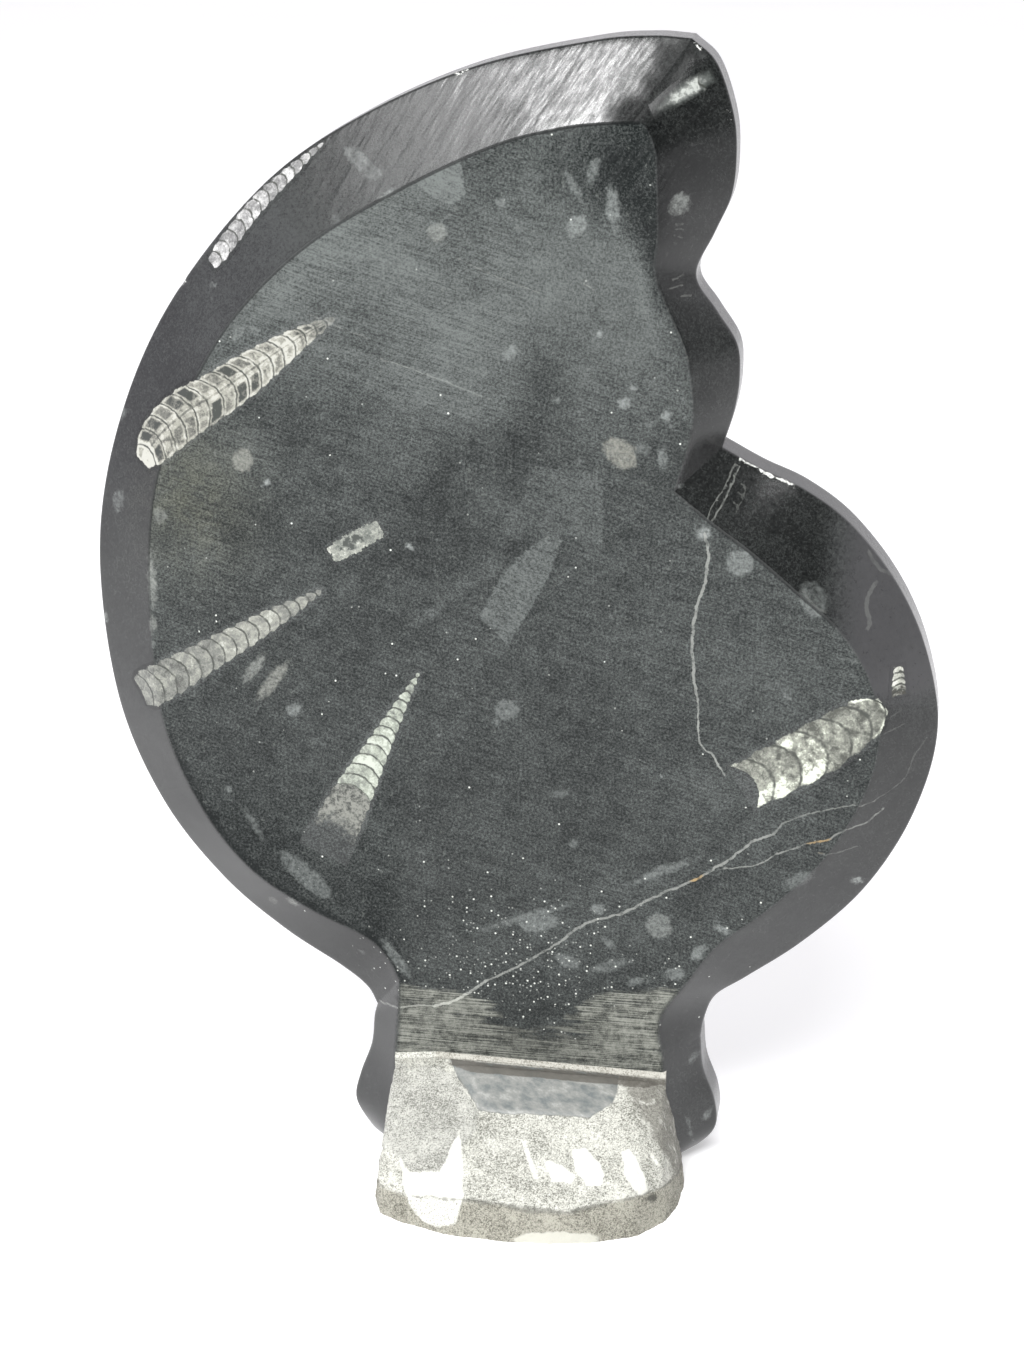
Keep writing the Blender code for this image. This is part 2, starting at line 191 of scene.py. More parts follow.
# Broad light and dark clouds as (x, z, half length, half width, turn, tone).
CLOUDS = [
    (-25, 252, 46, 24, -28, 0.66), (-62, 250, 22, 13, 35, 0.42), (-82, 195, 18, 20, 20, 0.34),
    (18, 262, 16, 30, 20, 0.42), (2, 222, 34, 8, 45, -0.26), (36, 238, 7, 26, 0, 0.2),
    (-52, 186, 34, 7, -20, -0.2), (-16, 192, 30, 6, 52, -0.16), (32, 290, 18, 7, 0, -0.3),
    (39, 274, 9, 26, 0, -0.38), (31, 254, 3.5, 11, 10, 0.26), (70, 160, 26, 16, -30, 0.14),
    (-84, 118, 12, 36, 28, -0.16),
    (-45, 72, 34, 8, -38, -0.2), (12, 62, 28, 15, 10, -0.12), (28, 86, 44, 9, 28, 0.16),
    (55, 120, 20, 8, 30, 0.08), (-10, 118, 60, 26, 0, -0.06), (62, 122, 14, 9, 0, 0.18),
    (86, 178, 14, 7, -45, -0.1), (100, 172, 12, 18, 20, 0.25), (-75, 262, 18, 8, 45, 0.2),
    (28, 262, 4, 24, 0, 0.16), (-90, 150, 5, 40, 0, 0.12),
]

# Lighter patches as (tone, [(x, z) ...]).
PATCHES = [
    (0.36, [(6.6, 208.3), (25.5, 205.8), (26.8, 186.4), (16.9, 189.2), (11.8, 190),
            (7.6, 186.6), (0.3, 189), (-0.5, 193.4), (5.3, 198.8)]),
    (0.3, [(-3.8, 181.7), (-2, 177.5), (-9, 173.3), (-20.7, 163.5), (-25.7, 160.1),
           (-26.2, 162.1), (-16.8, 170.5), (-9, 178.9)]),
    (1.0, [(-25.4, 287), (-17, 291.5), (-11.8, 290), (-10, 278.4), (-13.6, 275.4),
           (-19.4, 277.8), (-23.6, 281.6)]),
    (0.85, [(15.4, 188.1), (11, 175.8), (0.8, 157.6), (-7, 165.4), (-0.5, 177.8),
            (7.6, 186.4), (11.8, 189.8)]),
]

# Upper end of the sawn strip at the foot of the face, as (x, z).
SAW_TOP = [
    (-32, 53.8), (-21.7, 52.8), (-12, 52.4), (-7, 51), (-4.5, 47.5), (-0.5, 43.8), (5, 42.2),
    (13, 41.6), (17, 42.8), (20, 46.5), (23.5, 53), (29.7, 56), (46, 58.5),
]
FAR = 9.0  # beyond the reach of every marking

# Small white chips along the arrises as (half width, [(x, y, z) ...]), on the shoulder's rim partly a
# painted highlight.
CHIPS_AND_GLINTS = [
    (0.34, [(60.9, 10.9, 209.2), (63.7, 10.9, 207.9), (66.2, 10.8, 206.7)]),
    (0.6, [(66.8, 10.9, 206.4), (69.4, 10.9, 205.3)]),
    (0.5, [(70.6, 10.8, 204.9), (72.4, 10.9, 204.1), (74.8, 10.9, 203)]),
    (0.5, [(46.8, 10.6, 316.1), (47.9, 10.4, 315)]),
    (0.3, [(54.2, 10.6, 301.6), (55, 10.5, 299.4)]), (0.25, [(55.4, 10.3, 298.2), (56.1, 10.4, 296)]),
    (0.3, [(-14.8, 10.8, 307), (-11.8, 10.8, 308)]), (0.2, [(-88.9, 10.9, 250), (-88.2, 10.9, 251.2)]),
]

RIM_CHIP, RIM_CHIP_REACH = (-88.6, 11.0, 250.6), 1.6  # an old chip, the only one with depth

SHELL_STEP = 0.4  # mean spacing of a shell's mesh
SHELL_LIFT = 0.04  # how far a shell stands proud of the stone around it
SHELL_MARGIN = 0.8  # stone-coloured skirt around a shell, where its ragged edge breaks up

# Shells as stations from apex to mouth: (x, z, half width). Their chambers lengthen by the growth,
# and the walls between them bow by the sag. The outline is ragged and swells by the annulus.
SHELLS = {
    "orthoceras_rim": dict(
        stations=[(-49, 288.9, 0.4), (-53, 285.5, 1), (-58, 281, 1.7), (-66.5, 273, 2.3),
                  (-73, 265.2, 2.5), (-77.6, 259.2, 2.4), (-79.9, 256.2, 1.5)],
        chambers=14, growth=1.15, sag=0.55, ragged=0.4, annulus=0.3, style="bright", seed=3,
    ),
    "orthoceras_upper_left": dict(
        stations=[(-44.7, 245.3, 0.8), (-55.3, 239, 3.2), (-67.3, 230.5, 5.3), (-78.5, 222.7, 6.2),
                  (-85.5, 218.3, 6.6), (-92.5, 212.3, 6.3), (-97.2, 206.8, 5), (-99.9, 202.6, 2.4)],
        chambers=17, growth=1.15, sag=0.55, ragged=0.6, annulus=0.3, style="ringed", seed=7,
    ),
    "orthoceras_left": dict(
        stations=[(-50, 170.4, 0.6), (-62, 162.8, 2.8), (-73, 155.8, 3.9), (-85, 148.2, 4.8),
                  (-94, 142.5, 5.5), (-101.5, 137.6, 5.4), (-104, 136, 3.8)],
        chambers=17, growth=1.2, sag=0.5, ragged=0.55, annulus=0.55, style="pale", seed=11,
    ),
    "orthoceras_lower": dict(
        stations=[(-23.6, 148.4, 0.5), (-30, 136.3, 2.2), (-36.5, 123.6, 3.9), (-42.5, 111.9, 5.6),
                  (-47, 102.5, 6.5), (-51.6, 93, 6.7)],
        chambers=19, growth=1.2, sag=0.4, ragged=0.45, annulus=0.4, style="body", seed=19,
    ),
    "orthoceras_right": dict(
        stations=[(101.5, 146.4, 2.6), (99, 144.6, 4.9), (95.8, 141.9, 6.3), (90, 137.3, 7.2),
                  (83.4, 132.3, 7.7), (74.3, 126.4, 7.5), (65, 120.6, 7.1)],
        chambers=6, growth=1.2, sag=0.62, ragged=0.9, annulus=0.5, notch=3.8, style="cloudy", seed=23,
    ),
    "orthoceras_small_right": dict(
        stations=[(104.7, 156, 1.2), (105, 152, 1.7), (105.3, 148, 2)],
        chambers=5, growth=1.0, sag=0.5, ragged=0.25, annulus=0.2, style="small", seed=29,
    ),
    "orthoceras_tip": dict(
        stations=[(37.5, 300.3, 1.2), (41.5, 302.6, 2.3), (47, 306, 2.7), (51.5, 308.4, 2)],
        chambers=4, growth=1.0, sag=0.7, ragged=0.9, annulus=0.1, style="faint", seed=31,
    ),
    "orthoceras_fragment": dict(
        stations=[(-47.3, 180.3, 2.2), (-45.5, 181.5, 2.6), (-40.5, 184.7, 2.7), (-35.5, 187.8, 2.5),
                  (-33.6, 189, 2)],
        chambers=3, growth=1.0, sag=0.4, ragged=1.6, annulus=0.0, style="cored", seed=37,
    ),
}

# ---------------------------------------------------------------- the rough foot

# Outline of the foot on the floor as (x, y), and the corners of its breaks as (x, y, z).
FOOT_SOLE = [
    (-36, 10), (-35, -14), (-33.5, -27), (-30, -35.5), (-22.5, -39.5), (-10, -43.5), (6, -44.6),
    (19, -43.6), (32.5, -40.5), (43, -35.5), (50, -26.5), (52.5, -18), (53, -8), (52, 4),
    (48, 22), (42, 33), (30, 40), (14, 44), (-4, 44.6), (-20, 40), (-30, 32), (-34, 22),
]
FOOT_CORNERS = [
    (-31, -34, 10.5), (-22, -37.5, 11.5), (-6, -41.5, 11.7), (14, -42.3, 10.8),
    (25, -41.5, 10.2), (40, -34.5, 12.5), (48.5, -24.5, 12), (51.5, -10, 8.5),
    (-6.5, -15.7, 24.2), (26, -13.7, 25.2), (37.5, -8, 27.5), (-33, 0, 27), (-30, -14, 21.5),
    (-11, 0, 30.6), (39, 0, 29.8), (46, 0, 28.5), (46.5, 5, 27.5),
    (-31, 31, 9), (-19, 38.5, 11), (-3, 43, 10.5), (15, 42.5, 11.5), (30, 38, 10), (42, 31, 8),
    (-29, 23, 20), (-12, 24, 27), (8, 24, 29), (28, 24, 26), (42, 23, 19), (12, 34, 21.5),
]
FOOT_GRID = 0.9  # spacing of the foot's mesh
LEDGE_START, LEDGE_LENGTH, LEDGE_STEPS = -32, 78, 110
LEDGE_TOP, LEDGE_FALL = 33.0, 1.2  # its height at the start, and how much lower it ends
SAW_BLOCK = (0.4, 0.4, 0.1)  # in metres

# Marks on the front of the foot, flattened along a line that runs back and down: (across, up).
FLATTEN_ACROSS, FLATTEN_UP = 0.167, 0.379
SMOOTH_BREAK = [(-13.6, 25.7), (-9.5, 20.8), (-7.4, 17.9), (-1.5, 17.6), (11.2, 18.3), (24, 18.5),
                (26.9, 20.4), (30.3, 22.4), (31.9, 25.5), (32.8, 30), (4.1, 31.5), (-16.5, 31)]
FOOT_LOBE = [(-46, 22), (-42, 24), (-30.8, 28), (-18.9, 28.6), (-13.6, 25.7), (-10.1, 20.7),
             (-7.8, 17), (-8.9, 11.7), (-12.8, 7.6), (-14.4, 3.6), (-18.3, 1.2), (-26.7, 0.5),
             (-30, 3.4), (-38, 7)]
CALCITE = [  # white patches
    [(-29.8, 3.6), (-27, 0.2), (-18.3, 1.2), (-15, 7.9), (-13.2, 12.4), (-12.4, 7.6),
     (-11.6, -5), (-13.7, -12), (-18.2, -14.3), (-23.3, -13), (-27, -8.9), (-28.5, -3.1)],
    [(4.5, 11.4), (5.6, 11), (8.1, 5), (9.4, 1.2), (8.4, 1), (6.4, 5.6)],
    [(11, 6), (12.4, 6.4), (15.5, 5.8), (19.5, 3.3), (18.6, 1.5), (13, 1.4)],
    [(18.8, 10), (22.4, 10.4), (25.9, 7.3), (27.7, 4.1), (26.4, 1.3), (22.8, 0.8), (19.5, 4.8)],
    [(32.6, 10), (34.6, 11.1), (37, 8.4), (39.2, 3), (39.6, -0.9), (37.2, -1.4), (34, 3.4)],
    [(40.8, 10), (42, 9.6), (43.6, 6.4), (42.6, 6)],
]
FOOT_ARRIS = [(-38, -3.5), (-32.9, -5.4), (-27.5, -6.3), (-12, -5.4), (-1.5, -5.8), (8.2, -6.6),
              (18.5, -6.3), (29, -3.1), (37.5, -1.2), (43.3, 0), (47.2, 1.4), (52, 4)]
LOW_CHIP = [(1.9, -15.8), (6.9, -13.3), (15.2, -12.3), (23.5, -12.6), (27, -14.2), (20, -17),
            (8, -17.5)]
SIDE_ARRIS = [(-10, 50), (0, 49), (7.3, 46.4), (13.6, 42.2), (21.6, 37.8), (28.6, 33), (40, 26)]


class Run:
    """A smooth Catmull-Rom run through rows of numbers, read by the distance along it."""

    def __init__(self, rows, steps=24):
        ends = [tuple(2 * a - b for a, b in zip(rows[0], rows[1]))]
        ends += [*rows, tuple(2 * a - b for a, b in zip(rows[-1], rows[-2]))]
        self.points = []
        for quads in zip(ends, ends[1:], ends[2:], ends[3:]):
            for step in range(steps):
                t = step / steps
                self.points.append(tuple(
                    b + t / 2 * (c - a + t * (2 * a - 5 * b + 4 * c - d + t * (3 * (b - c) + d - a)))
                    for a, b, c, d in zip(*quads)
                ))
        self.points.append(tuple(rows[-1]))
        self.reach = [0.0]
        for start, end in zip(self.points, self.points[1:]):
            self.reach.append(self.reach[-1] + math.dist(start[:2], end[:2]))
        self.length = self.reach[-1]

    def at(self, along):
        i = min(max(bisect.bisect_right(self.reach, along), 1), len(self.points) - 1)
        share = (along - self.reach[i - 1]) / (self.reach[i] - self.reach[i - 1])
        return tuple(a + share * (b - a) for a, b in zip(self.points[i - 1], self.points[i]))


def waves(x, z, scale, layer):
    return noise.noise((x * scale, z * scale, layer))


def hoop(count):
    """Pairs of neighbours around a closed row."""
    return [(i, (i + 1) % count) for i in range(count)]


def stretch_sections(sections):
    """Even sections of one stretch, the first on its crease, with a near neighbour at both ends."""
    run = Run(sections)
    count = max(2, round(run.length / STEP))
    alongs = [0.0, CREASE_STEP]
    alongs += [run.length * i / count for i in range(1, count)]
    alongs.append(run.length - CREASE_STEP)
    return [run.at(along) for along in alongs]


EDGE = [section[2:] for stretch in STRETCHES for section in stretch_sections(stretch)]


def inset(section, distance):
    """The section's rim moved towards its edge."""
    rx, rz, ex, ez = section
    share = distance / math.dist((rx, rz), (ex, ez))
    return rx + share * (ex - rx), rz + share * (ez - rz)


def rounded(before, corner, after, steps=4):
    """Points of a quadratic curve that rounds a corner off."""
    points = []
    for step in range(steps + 1):
        t = step / steps
        points.append(tuple(
            (1 - t) ** 2 * a + 2 * t * (1 - t) * b + t * t * c
            for a, b, c in zip(before, corner, after)
        ))
    return points


def band_profile(section):
    """Front of one section from just inside the edge to just inside the rim, as (x, y, z)."""
    rx, rz, ex, ez = section
    length = math.dist((rx, rz), (ex, ez))
    ux, uz = (rx - ex) / length, (rz - ez) / length
    turn = min(ROUND, 0.3 * length)
    drop = BAND_DEPTH / length
    before = (ex - ux * turn, FACE_Y, ez - uz * turn)
    after = (ex + ux * turn, FACE_Y + drop * turn, ez + uz * turn)
    points = rounded(before, (ex, FACE_Y, ez), after)
    last = length - turn
    for ring in range(1, BAND_RINGS + 1):
        s = turn + (last - turn) * ring / BAND_RINGS
        x, z = ex + ux * s, ez + uz * s
        uneven = 0.10 * waves(x, z, 0.05, 3.1) + 0.035 * waves(x, z, 0.16, 8.7)
        points.append((x, FACE_Y + drop * s + math.sin(math.pi * s / length) * uneven, z))
    return points


def rim_profile(section):
    """Round over the rim and down the side wall, from the last point of band_profile."""
    rx, rz, ex, ez = section
    length = math.dist((rx, rz), (ex, ez))
    turn = min(ROUND, 0.3 * length)
    share = turn / length
    before = (rx + share * (ex - rx), RIM_Y - BAND_DEPTH * share, rz + share * (ez - rz))
    points = rounded(before, (rx, RIM_Y, rz), (rx, RIM_Y + turn, rz))[1:]
    first, last = RIM_Y + turn, BACK_Y - BACK_ROUND
    for ring in range(1, WALL_RINGS + 1):
        points.append((rx, first + (last - first) * ring / WALL_RINGS, rz))
    return points


def inside_loop(points, loop):
    """Which of the (x, z) points lie inside a closed loop."""
    xs, zs = points[:, 0], points[:, 1]
    found = np.zeros(len(points), bool)
    for (x0, z0), (x1, z1) in zip(loop, loop[1:] + loop[:1]):
        if z0 == z1:
            continue
        crosses = (z0 > zs) != (z1 > zs)
        found ^= crosses & (xs < (x1 - x0) * (zs - z0) / (z1 - z0) + x0)
    return found


def triangles_inside(points, edges, loop):
    """Delaunay triangles within a closed loop: their corners, and the input point each stands for."""
    out = delaunay_2d_cdt([Vector(p) for p in points], edges, [], 0, 1e-4, True)
    flat, faces, sources = out[0], out[2], out[3]
    corners = np.array([tuple(co) for co in flat])
    middles = corners[np.array(faces)].mean(axis=1)
    kept = inside_loop(middles, loop)
    return corners, [face for face, keep in zip(faces, kept) if keep], sources


def lattice(loop, spacing, margin):
    """Points of a triangular grid inside a loop, at least margin from its points."""
    low, high = np.min(loop, axis=0), np.max(loop, axis=0)
    rows = np.arange(low[1], high[1], spacing * math.sqrt(3) / 2)
    points = []
    for i, z in enumerate(rows):
        xs = np.arange(low[0] + spacing * (0.25 + 0.5 * (i % 2)), high[0], spacing)
        points.append(np.stack([xs, np.full(len(xs), z)], axis=1))
    points = np.concatenate(points)
    points = points[inside_loop(points, loop)]
    tree = kdtree.KDTree(len(loop))
    for i, (x, z) in enumerate(loop):
        tree.insert((x, z, 0), i)
    tree.balance()
    return [(x, z) for x, z in points if tree.find((x, z, 0))[2] > margin]


def vein_path(points):
    """The vein at even steps, with a small natural wander."""
    run = Run(points, 12)
    count = max(2, round(run.length / VEIN_STEP))
    path = []
    for i in range(count + 1):
        x, z = run.at(run.length * i / count)
        dx = 0.35 * waves(x, z, 0.5, 1.7) + 0.12 * waves(x, z, 1.7, 5.2)
        dz = 0.35 * waves(x, z, 0.5, 9.4) + 0.12 * waves(x, z, 1.7, 2.6)
        path.append((x + dx, z + dz))
    return path


VEIN_PATHS = [vein_path(points) for _, _, points in VEINS]


def linked(name, data):
    """A new object in the scene."""
    made = bpy.data.objects.new(name, data)
    bpy.context.scene.collection.objects.link(made)
    return made


def object_from(bm, name):
    """A new object from a bmesh, which is used up."""
    mesh = bpy.data.meshes.new(name)
    bm.to_mesh(mesh)
    bm.free()
    return linked(name, mesh)


def solid_from(name, verts, faces):
    """A new object from points in mm, with its normals turned outwards."""
    mesh = bpy.data.meshes.new(name)
    mesh.from_pydata([(x * MM, y * MM, z * MM) for x, y, z in verts], [], faces)
    bm = bmesh.new()
    bm.from_mesh(mesh)
    bmesh.ops.recalc_face_normals(bm, faces=bm.faces)
    bm.to_mesh(mesh)
    bm.free()
    return linked(name, mesh)


def read(items, key, kind=np.float32, width=3):
    """One property of all vertices or faces, a row for each."""
    values = np.zeros(len(items) * width, kind)
    items.foreach_get(key, values)
    return values.reshape(-1, width)


def coordinates(mesh):
    return read(mesh.vertices, "co").astype(float) / MM


def move_to(mesh, co):
    """Moves the mesh's corners to these places in mm."""
    mesh.vertices.foreach_set("co", (co * MM).astype(np.float32).ravel())
    mesh.update()


def evaluated_copy(obj):
    """The object with its modifiers applied, in place of the old one."""
    mesh = bpy.data.meshes.new_from_object(obj.evaluated_get(bpy.context.evaluated_depsgraph_get()))
    made = linked(obj.name, mesh)
    bpy.data.objects.remove(obj)
    return made


def combined(obj, operation, other):
    """The object after a Boolean with the other one, which is used up."""
    boolean = obj.modifiers.new(operation, "BOOLEAN")
    boolean.operation = operation
    boolean.solver = "MANIFOLD"
    boolean.object = other
    made = evaluated_copy(obj)
    bpy.data.objects.remove(other)
    return made


# ---------------------------------------------------------------- the slab, the foot and its ledge


def front_net(fronts, creases):
    """The front's points (x, y, z), the edges its triangles keep, and the loop around them."""
    rings = len(fronts[0])
    neighbours = hoop(len(fronts))
    points = [p for front in fronts for p in front]
    quads = []
    for i, j in neighbours:
        for k in range(rings - 1):
            quads.append((i * rings + k, j * rings + k, j * rings + k + 1, i * rings + k + 1))
    band = BVHTree.FromPolygons(points, quads)
    edges = []
    for ring in (0, 2, rings - 1):
        edges += [(i * rings + ring, j * rings + ring) for i, j in neighbours]
    for i in creases:
        edges += [(i * rings + k, i * rings + k + 1) for k in range(rings - 1)]
    inner = [(front[0][0], front[0][2]) for front in fronts]
    outer = [(front[-1][0], front[-1][2]) for front in fronts]
    for x, z in lattice(inner, STEP, 0.7 * STEP):
        points.append((x, FACE_Y, z))
    for path in VEIN_PATHS:
        on_face = inside_loop(np.array(path), inner)
        on_front = inside_loop(np.array(path), outer)
        for (x, z), flat, seen in zip(path, on_face, on_front):
            if flat:
                points.append((x, FACE_Y, z))
            elif seen:
                hit = band.ray_cast((x, AHEAD_Y, z), INTO_STONE)[0]
                if hit is not None:
                    points.append((x, hit.y, z))
    return points, edges, outer


def slab_mesh():
    """The whole slab as one closed object with a triangulated front."""
    sections, creases = [], []
    for stretch in STRETCHES:
        creases.append(len(sections))
        sections += stretch_sections(stretch)
    fronts = [band_profile(section) for section in sections]
    sides = [rim_profile(section) for section in sections]
    bm = bmesh.new()

    def vert(x, y, z):
        return bm.verts.new((x * MM, y * MM, z * MM))

    def fill(flat, depths, faces):
        verts = [vert(x, y, z) for (x, z), y in zip(flat, depths)]
        for face in faces:
            bm.faces.new([verts[i] for i in face])

    points, edges, outer = front_net(fronts, creases)
    flat, faces, sources = triangles_inside([(x, z) for x, _, z in points], edges, outer)
    fill(flat, [points[source[0]][1] if source else FACE_Y for source in sources], faces)

    loops = [[vert(*front[-1]) for front in fronts]]
    loops += [[vert(*side[k]) for side in sides] for k in range(len(sides[0]))]
    smaller = [inset(section, BACK_ROUND) for section in sections]
    for t in (0.3, 0.6, 1.0):
        angle = t * math.pi / 2
        share = 1 - math.cos(angle)
        y = BACK_Y - BACK_ROUND * (1 - math.sin(angle))
        loops.append([
            vert(x + share * (a - x), y, z + share * (b - z))
            for (x, z, _, _), (a, b) in zip(sections, smaller)
        ])
    for front, back in zip(loops, loops[1:]):
        for i in range(len(sections)):
            bm.faces.new((front[i - 1], front[i], back[i], back[i - 1]))
    inner = lattice(smaller, BACK_STEP, 2.0)
    flat, faces, _ = triangles_inside(smaller + inner, hoop(len(sections)), smaller)
    fill(flat, [BACK_Y] * len(flat), faces)

    bmesh.ops.remove_doubles(bm, verts=bm.verts, dist=2e-6)
    bmesh.ops.delete(bm, geom=[v for v in bm.verts if not v.link_faces], context="VERTS")
    bmesh.ops.recalc_face_normals(bm, faces=bm.faces)
    return object_from(bm, "slab")


def segment_distance(points, start, end):
    """Distances of points to a straight line between two ends, in two or three dimensions."""
    start, end = np.array(start, float), np.array(end, float)
    along = end - start
    t = np.clip(((points - start) @ along) / max(along @ along, 1e-9), 0, 1)
    return np.linalg.norm(points - start - t[:, None] * along, axis=1)


def line_distance(points, path):
    return np.min([segment_distance(points, start, end) for start, end in zip(path, path[1:])], axis=0)


def in_polygon_distance(points, loop):
    """Signed distance of (a, b) points to a polygon, negative inside."""
    best = line_distance(points, [*loop, loop[0]])
    return np.where(inside_loop(points, loop), -best, best)


def smooth_step(value, low, high):
    t = np.clip((value - low) / (high - low), 0, 1)
    return t * t * (3 - 2 * t)


def in_ellipse(dx, dz, a, b, turn):
    """Squared distance from the middle of a turned ellipse, 1 at its outline."""
    c, s = math.cos(math.radians(turn)), math.sin(math.radians(turn))
    return ((dx * c + dz * s) / a) ** 2 + ((dz * c - dx * s) / b) ** 2


def hill(dx, dz, a, b, turn=0):
    """A soft hill, 1 in its middle."""
    return np.exp(-in_ellipse(dx, dz, a, b, turn))


def flattened(co):
    """(across, up) of points on the front of the foot, and which points are on its front."""
    x, y, z = co.T
    return np.stack([x + FLATTEN_ACROSS * y, z + FLATTEN_UP * y], axis=1), y < -0.5


def foot_mesh():
    """The foot: flat breaks, worn at their edges, with a stippled skin."""
    bm = bmesh.new()
    sole = [(x, y, z) for x, y in FOOT_SOLE for z in (-UNDER, 0)]
    for corner in sole + FOOT_CORNERS:
        bm.verts.new([c * MM for c in corner])
    hull = bmesh.ops.convex_hull(bm, input=bm.verts)
    bmesh.ops.delete(bm, geom=hull["geom_interior"], context="VERTS")
    bmesh.ops.recalc_face_normals(bm, faces=bm.faces)
    obj = object_from(bm, "foot")
    remesh = obj.modifiers.new("grid", "REMESH")
    remesh.mode = "VOXEL"
    remesh.voxel_size = FOOT_GRID * MM
    worn = obj.modifiers.new("worn", "SMOOTH")
    worn.factor = 0.5
    worn.iterations = 2
    obj = evaluated_copy(obj)
    co = coordinates(obj.data)
    normals = read(obj.data.vertices, "normal")
    seen, front = flattened(co)
    smooth = smooth_step(in_polygon_distance(seen, SMOOTH_BREAK), 0.2, -1.2) * front
    lobe = in_polygon_distance(seen, FOOT_LOBE)
    lip = smooth_step(lobe, -0.2, 0.6) * smooth_step(lobe, 5, 0.8) * front
    groove = smooth_step(line_distance(seen, FOOT_ARRIS), 1.3, 0.4) * front
    for i, corner in enumerate(co):
        p = Vector(corner)
        lumps = noise.noise(p * 0.11) * 0.9 + noise.noise(p * 0.3 + Vector((4, 9, 2))) * 0.5
        pits = noise.noise(p * 0.9) * 0.28 + noise.noise(p * 1.9 + Vector((7, 1, 5))) * 0.16
        depth = (0.75 + lumps) * 0.5 * (1 - 0.7 * smooth[i]) + (0.3 + pits) * (1 - 0.9 * smooth[i])
        depth += 0.8 * lip[i] + 0.7 * groove[i] * (0.6 + lumps)
        co[i] -= normals[i] * max(depth, 0) * 0.9
    move_to(obj.data, co)
    return obj


def ledge_mesh():
    """The narrow saw-cut step that the face ends on, above the foot."""
    verts = []
    for i in range(LEDGE_STEPS + 1):
        x = LEDGE_START + LEDGE_LENGTH * i / LEDGE_STEPS
        top = LEDGE_TOP - LEDGE_FALL * (i / LEDGE_STEPS) - 1.6 * max(0.0, 1 - i / 18)
        crumble = max(0.0, 1 - i / 22)
        wave = 0.18 * noise.noise((x * 0.6, 1.0, 2.0)) + 0.12 * noise.noise((x * 1.9, 4.0, 7.0))
        out = 0.95 + wave + crumble * (0.5 + 0.9 * noise.noise((x * 0.8, 9.0, 3.0)))
        profile = (
            (1.2, 0.6), (-0.05, 0.25), (-0.45 * out, wave * 0.5 - 0.1), (-out, wave - 0.95),
            (-out * 0.85, -1.6), (-0.7, -3.2), (-0.6, -5), (1.2, -5),
        )
        verts += [(x, y, top + rise) for y, rise in profile]
    n = len(profile)
    faces = []
    for i in range(LEDGE_STEPS):
        for k, m in hoop(n):
            faces.append((i * n + k, i * n + m, (i + 1) * n + m, (i + 1) * n + k))
    faces.append(tuple(range(n))[::-1])
    faces.append(tuple(LEDGE_STEPS * n + k for k in range(n)))
    return solid_from("ledge", verts, faces)


def saw_cut():
    """A block whose top is the floor: all stone below it is sawn off."""
    bm = bmesh.new()
    bmesh.ops.create_cube(bm, size=1)
    bmesh.ops.scale(bm, vec=SAW_BLOCK, verts=bm.verts)
    bmesh.ops.translate(bm, vec=(0, 0, -SAW_BLOCK[2] / 2), verts=bm.verts)
    return object_from(bm, "saw_cut")


def chip_rim(mesh):
    """A small old chip out of the rim on the upper left."""
    co = coordinates(mesh)
    far = np.linalg.norm(co - np.array(RIM_CHIP), axis=1)
    push = np.clip(1 - far / RIM_CHIP_REACH, 0, 1) * 0.5
    move_to(mesh, co + push[:, None] * np.array((0.78, 0.2, -0.6)))


# ---------------------------------------------------------------- painting by position


def set_attributes(mesh, marks):
    for name, values in marks.items():
        layer = mesh.attributes.new(name, "FLOAT", "POINT")
        layer.data.foreach_set("value", np.asarray(values, np.float32))


def nearest(count, words, marks):
    """The distance to the nearest of many marks at each point, and what that mark says."""
    best = np.full(count, FAR)
    says = np.zeros((words, count))
    for reach, *own in marks:
        closer = reach < best
        best[closer] = reach[closer]
        says[:, closer] = np.array(own)[:, None]
    return best, *says


def vein_marks(flat, front):
    for (half, strength, _), path in zip(VEINS, VEIN_PATHS):
        low, high = np.min(path, axis=0) - 3, np.max(path, axis=0) + 3
        near = np.flatnonzero(front & (flat > low).all(axis=1) & (flat < high).all(axis=1))
        reach = np.full(len(flat), FAR)
        if len(near):
            reach[near] = np.minimum(line_distance(flat[near], path), FAR) - half
        yield reach, strength


def blotch_marks(x, z, front):
    for x0, z0, a, b, turn, tone, warmth in BLOTCHES:
        far = np.sqrt(in_ellipse(x - x0, z - z0, a, b, turn))
        yield np.where(front, (far - 1) * min(a, b), FAR), tone, warmth


def patch_marks(flat, front):
    for tone, outline in PATCHES:
        yield np.where(front, in_polygon_distance(flat, outline), FAR), tone


def waves_at(flat, scale, layer):
    return np.array([waves(x, z, scale, layer) for x, z in flat])


def clouds_at(flat):
    """Light and dark clouds, their outlines drifting."""
    x, z = flat.T
    drift_x, drift_z = waves_at(flat, 0.045, 2.2) * 16, waves_at(flat, 0.045, 6.6) * 16
    cloud = np.zeros(len(flat))
    for x0, z0, a, b, turn, light in CLOUDS:
        cloud += light * hill(x - x0 + drift_x, z - z0 + drift_z, a, b, turn)
    return cloud


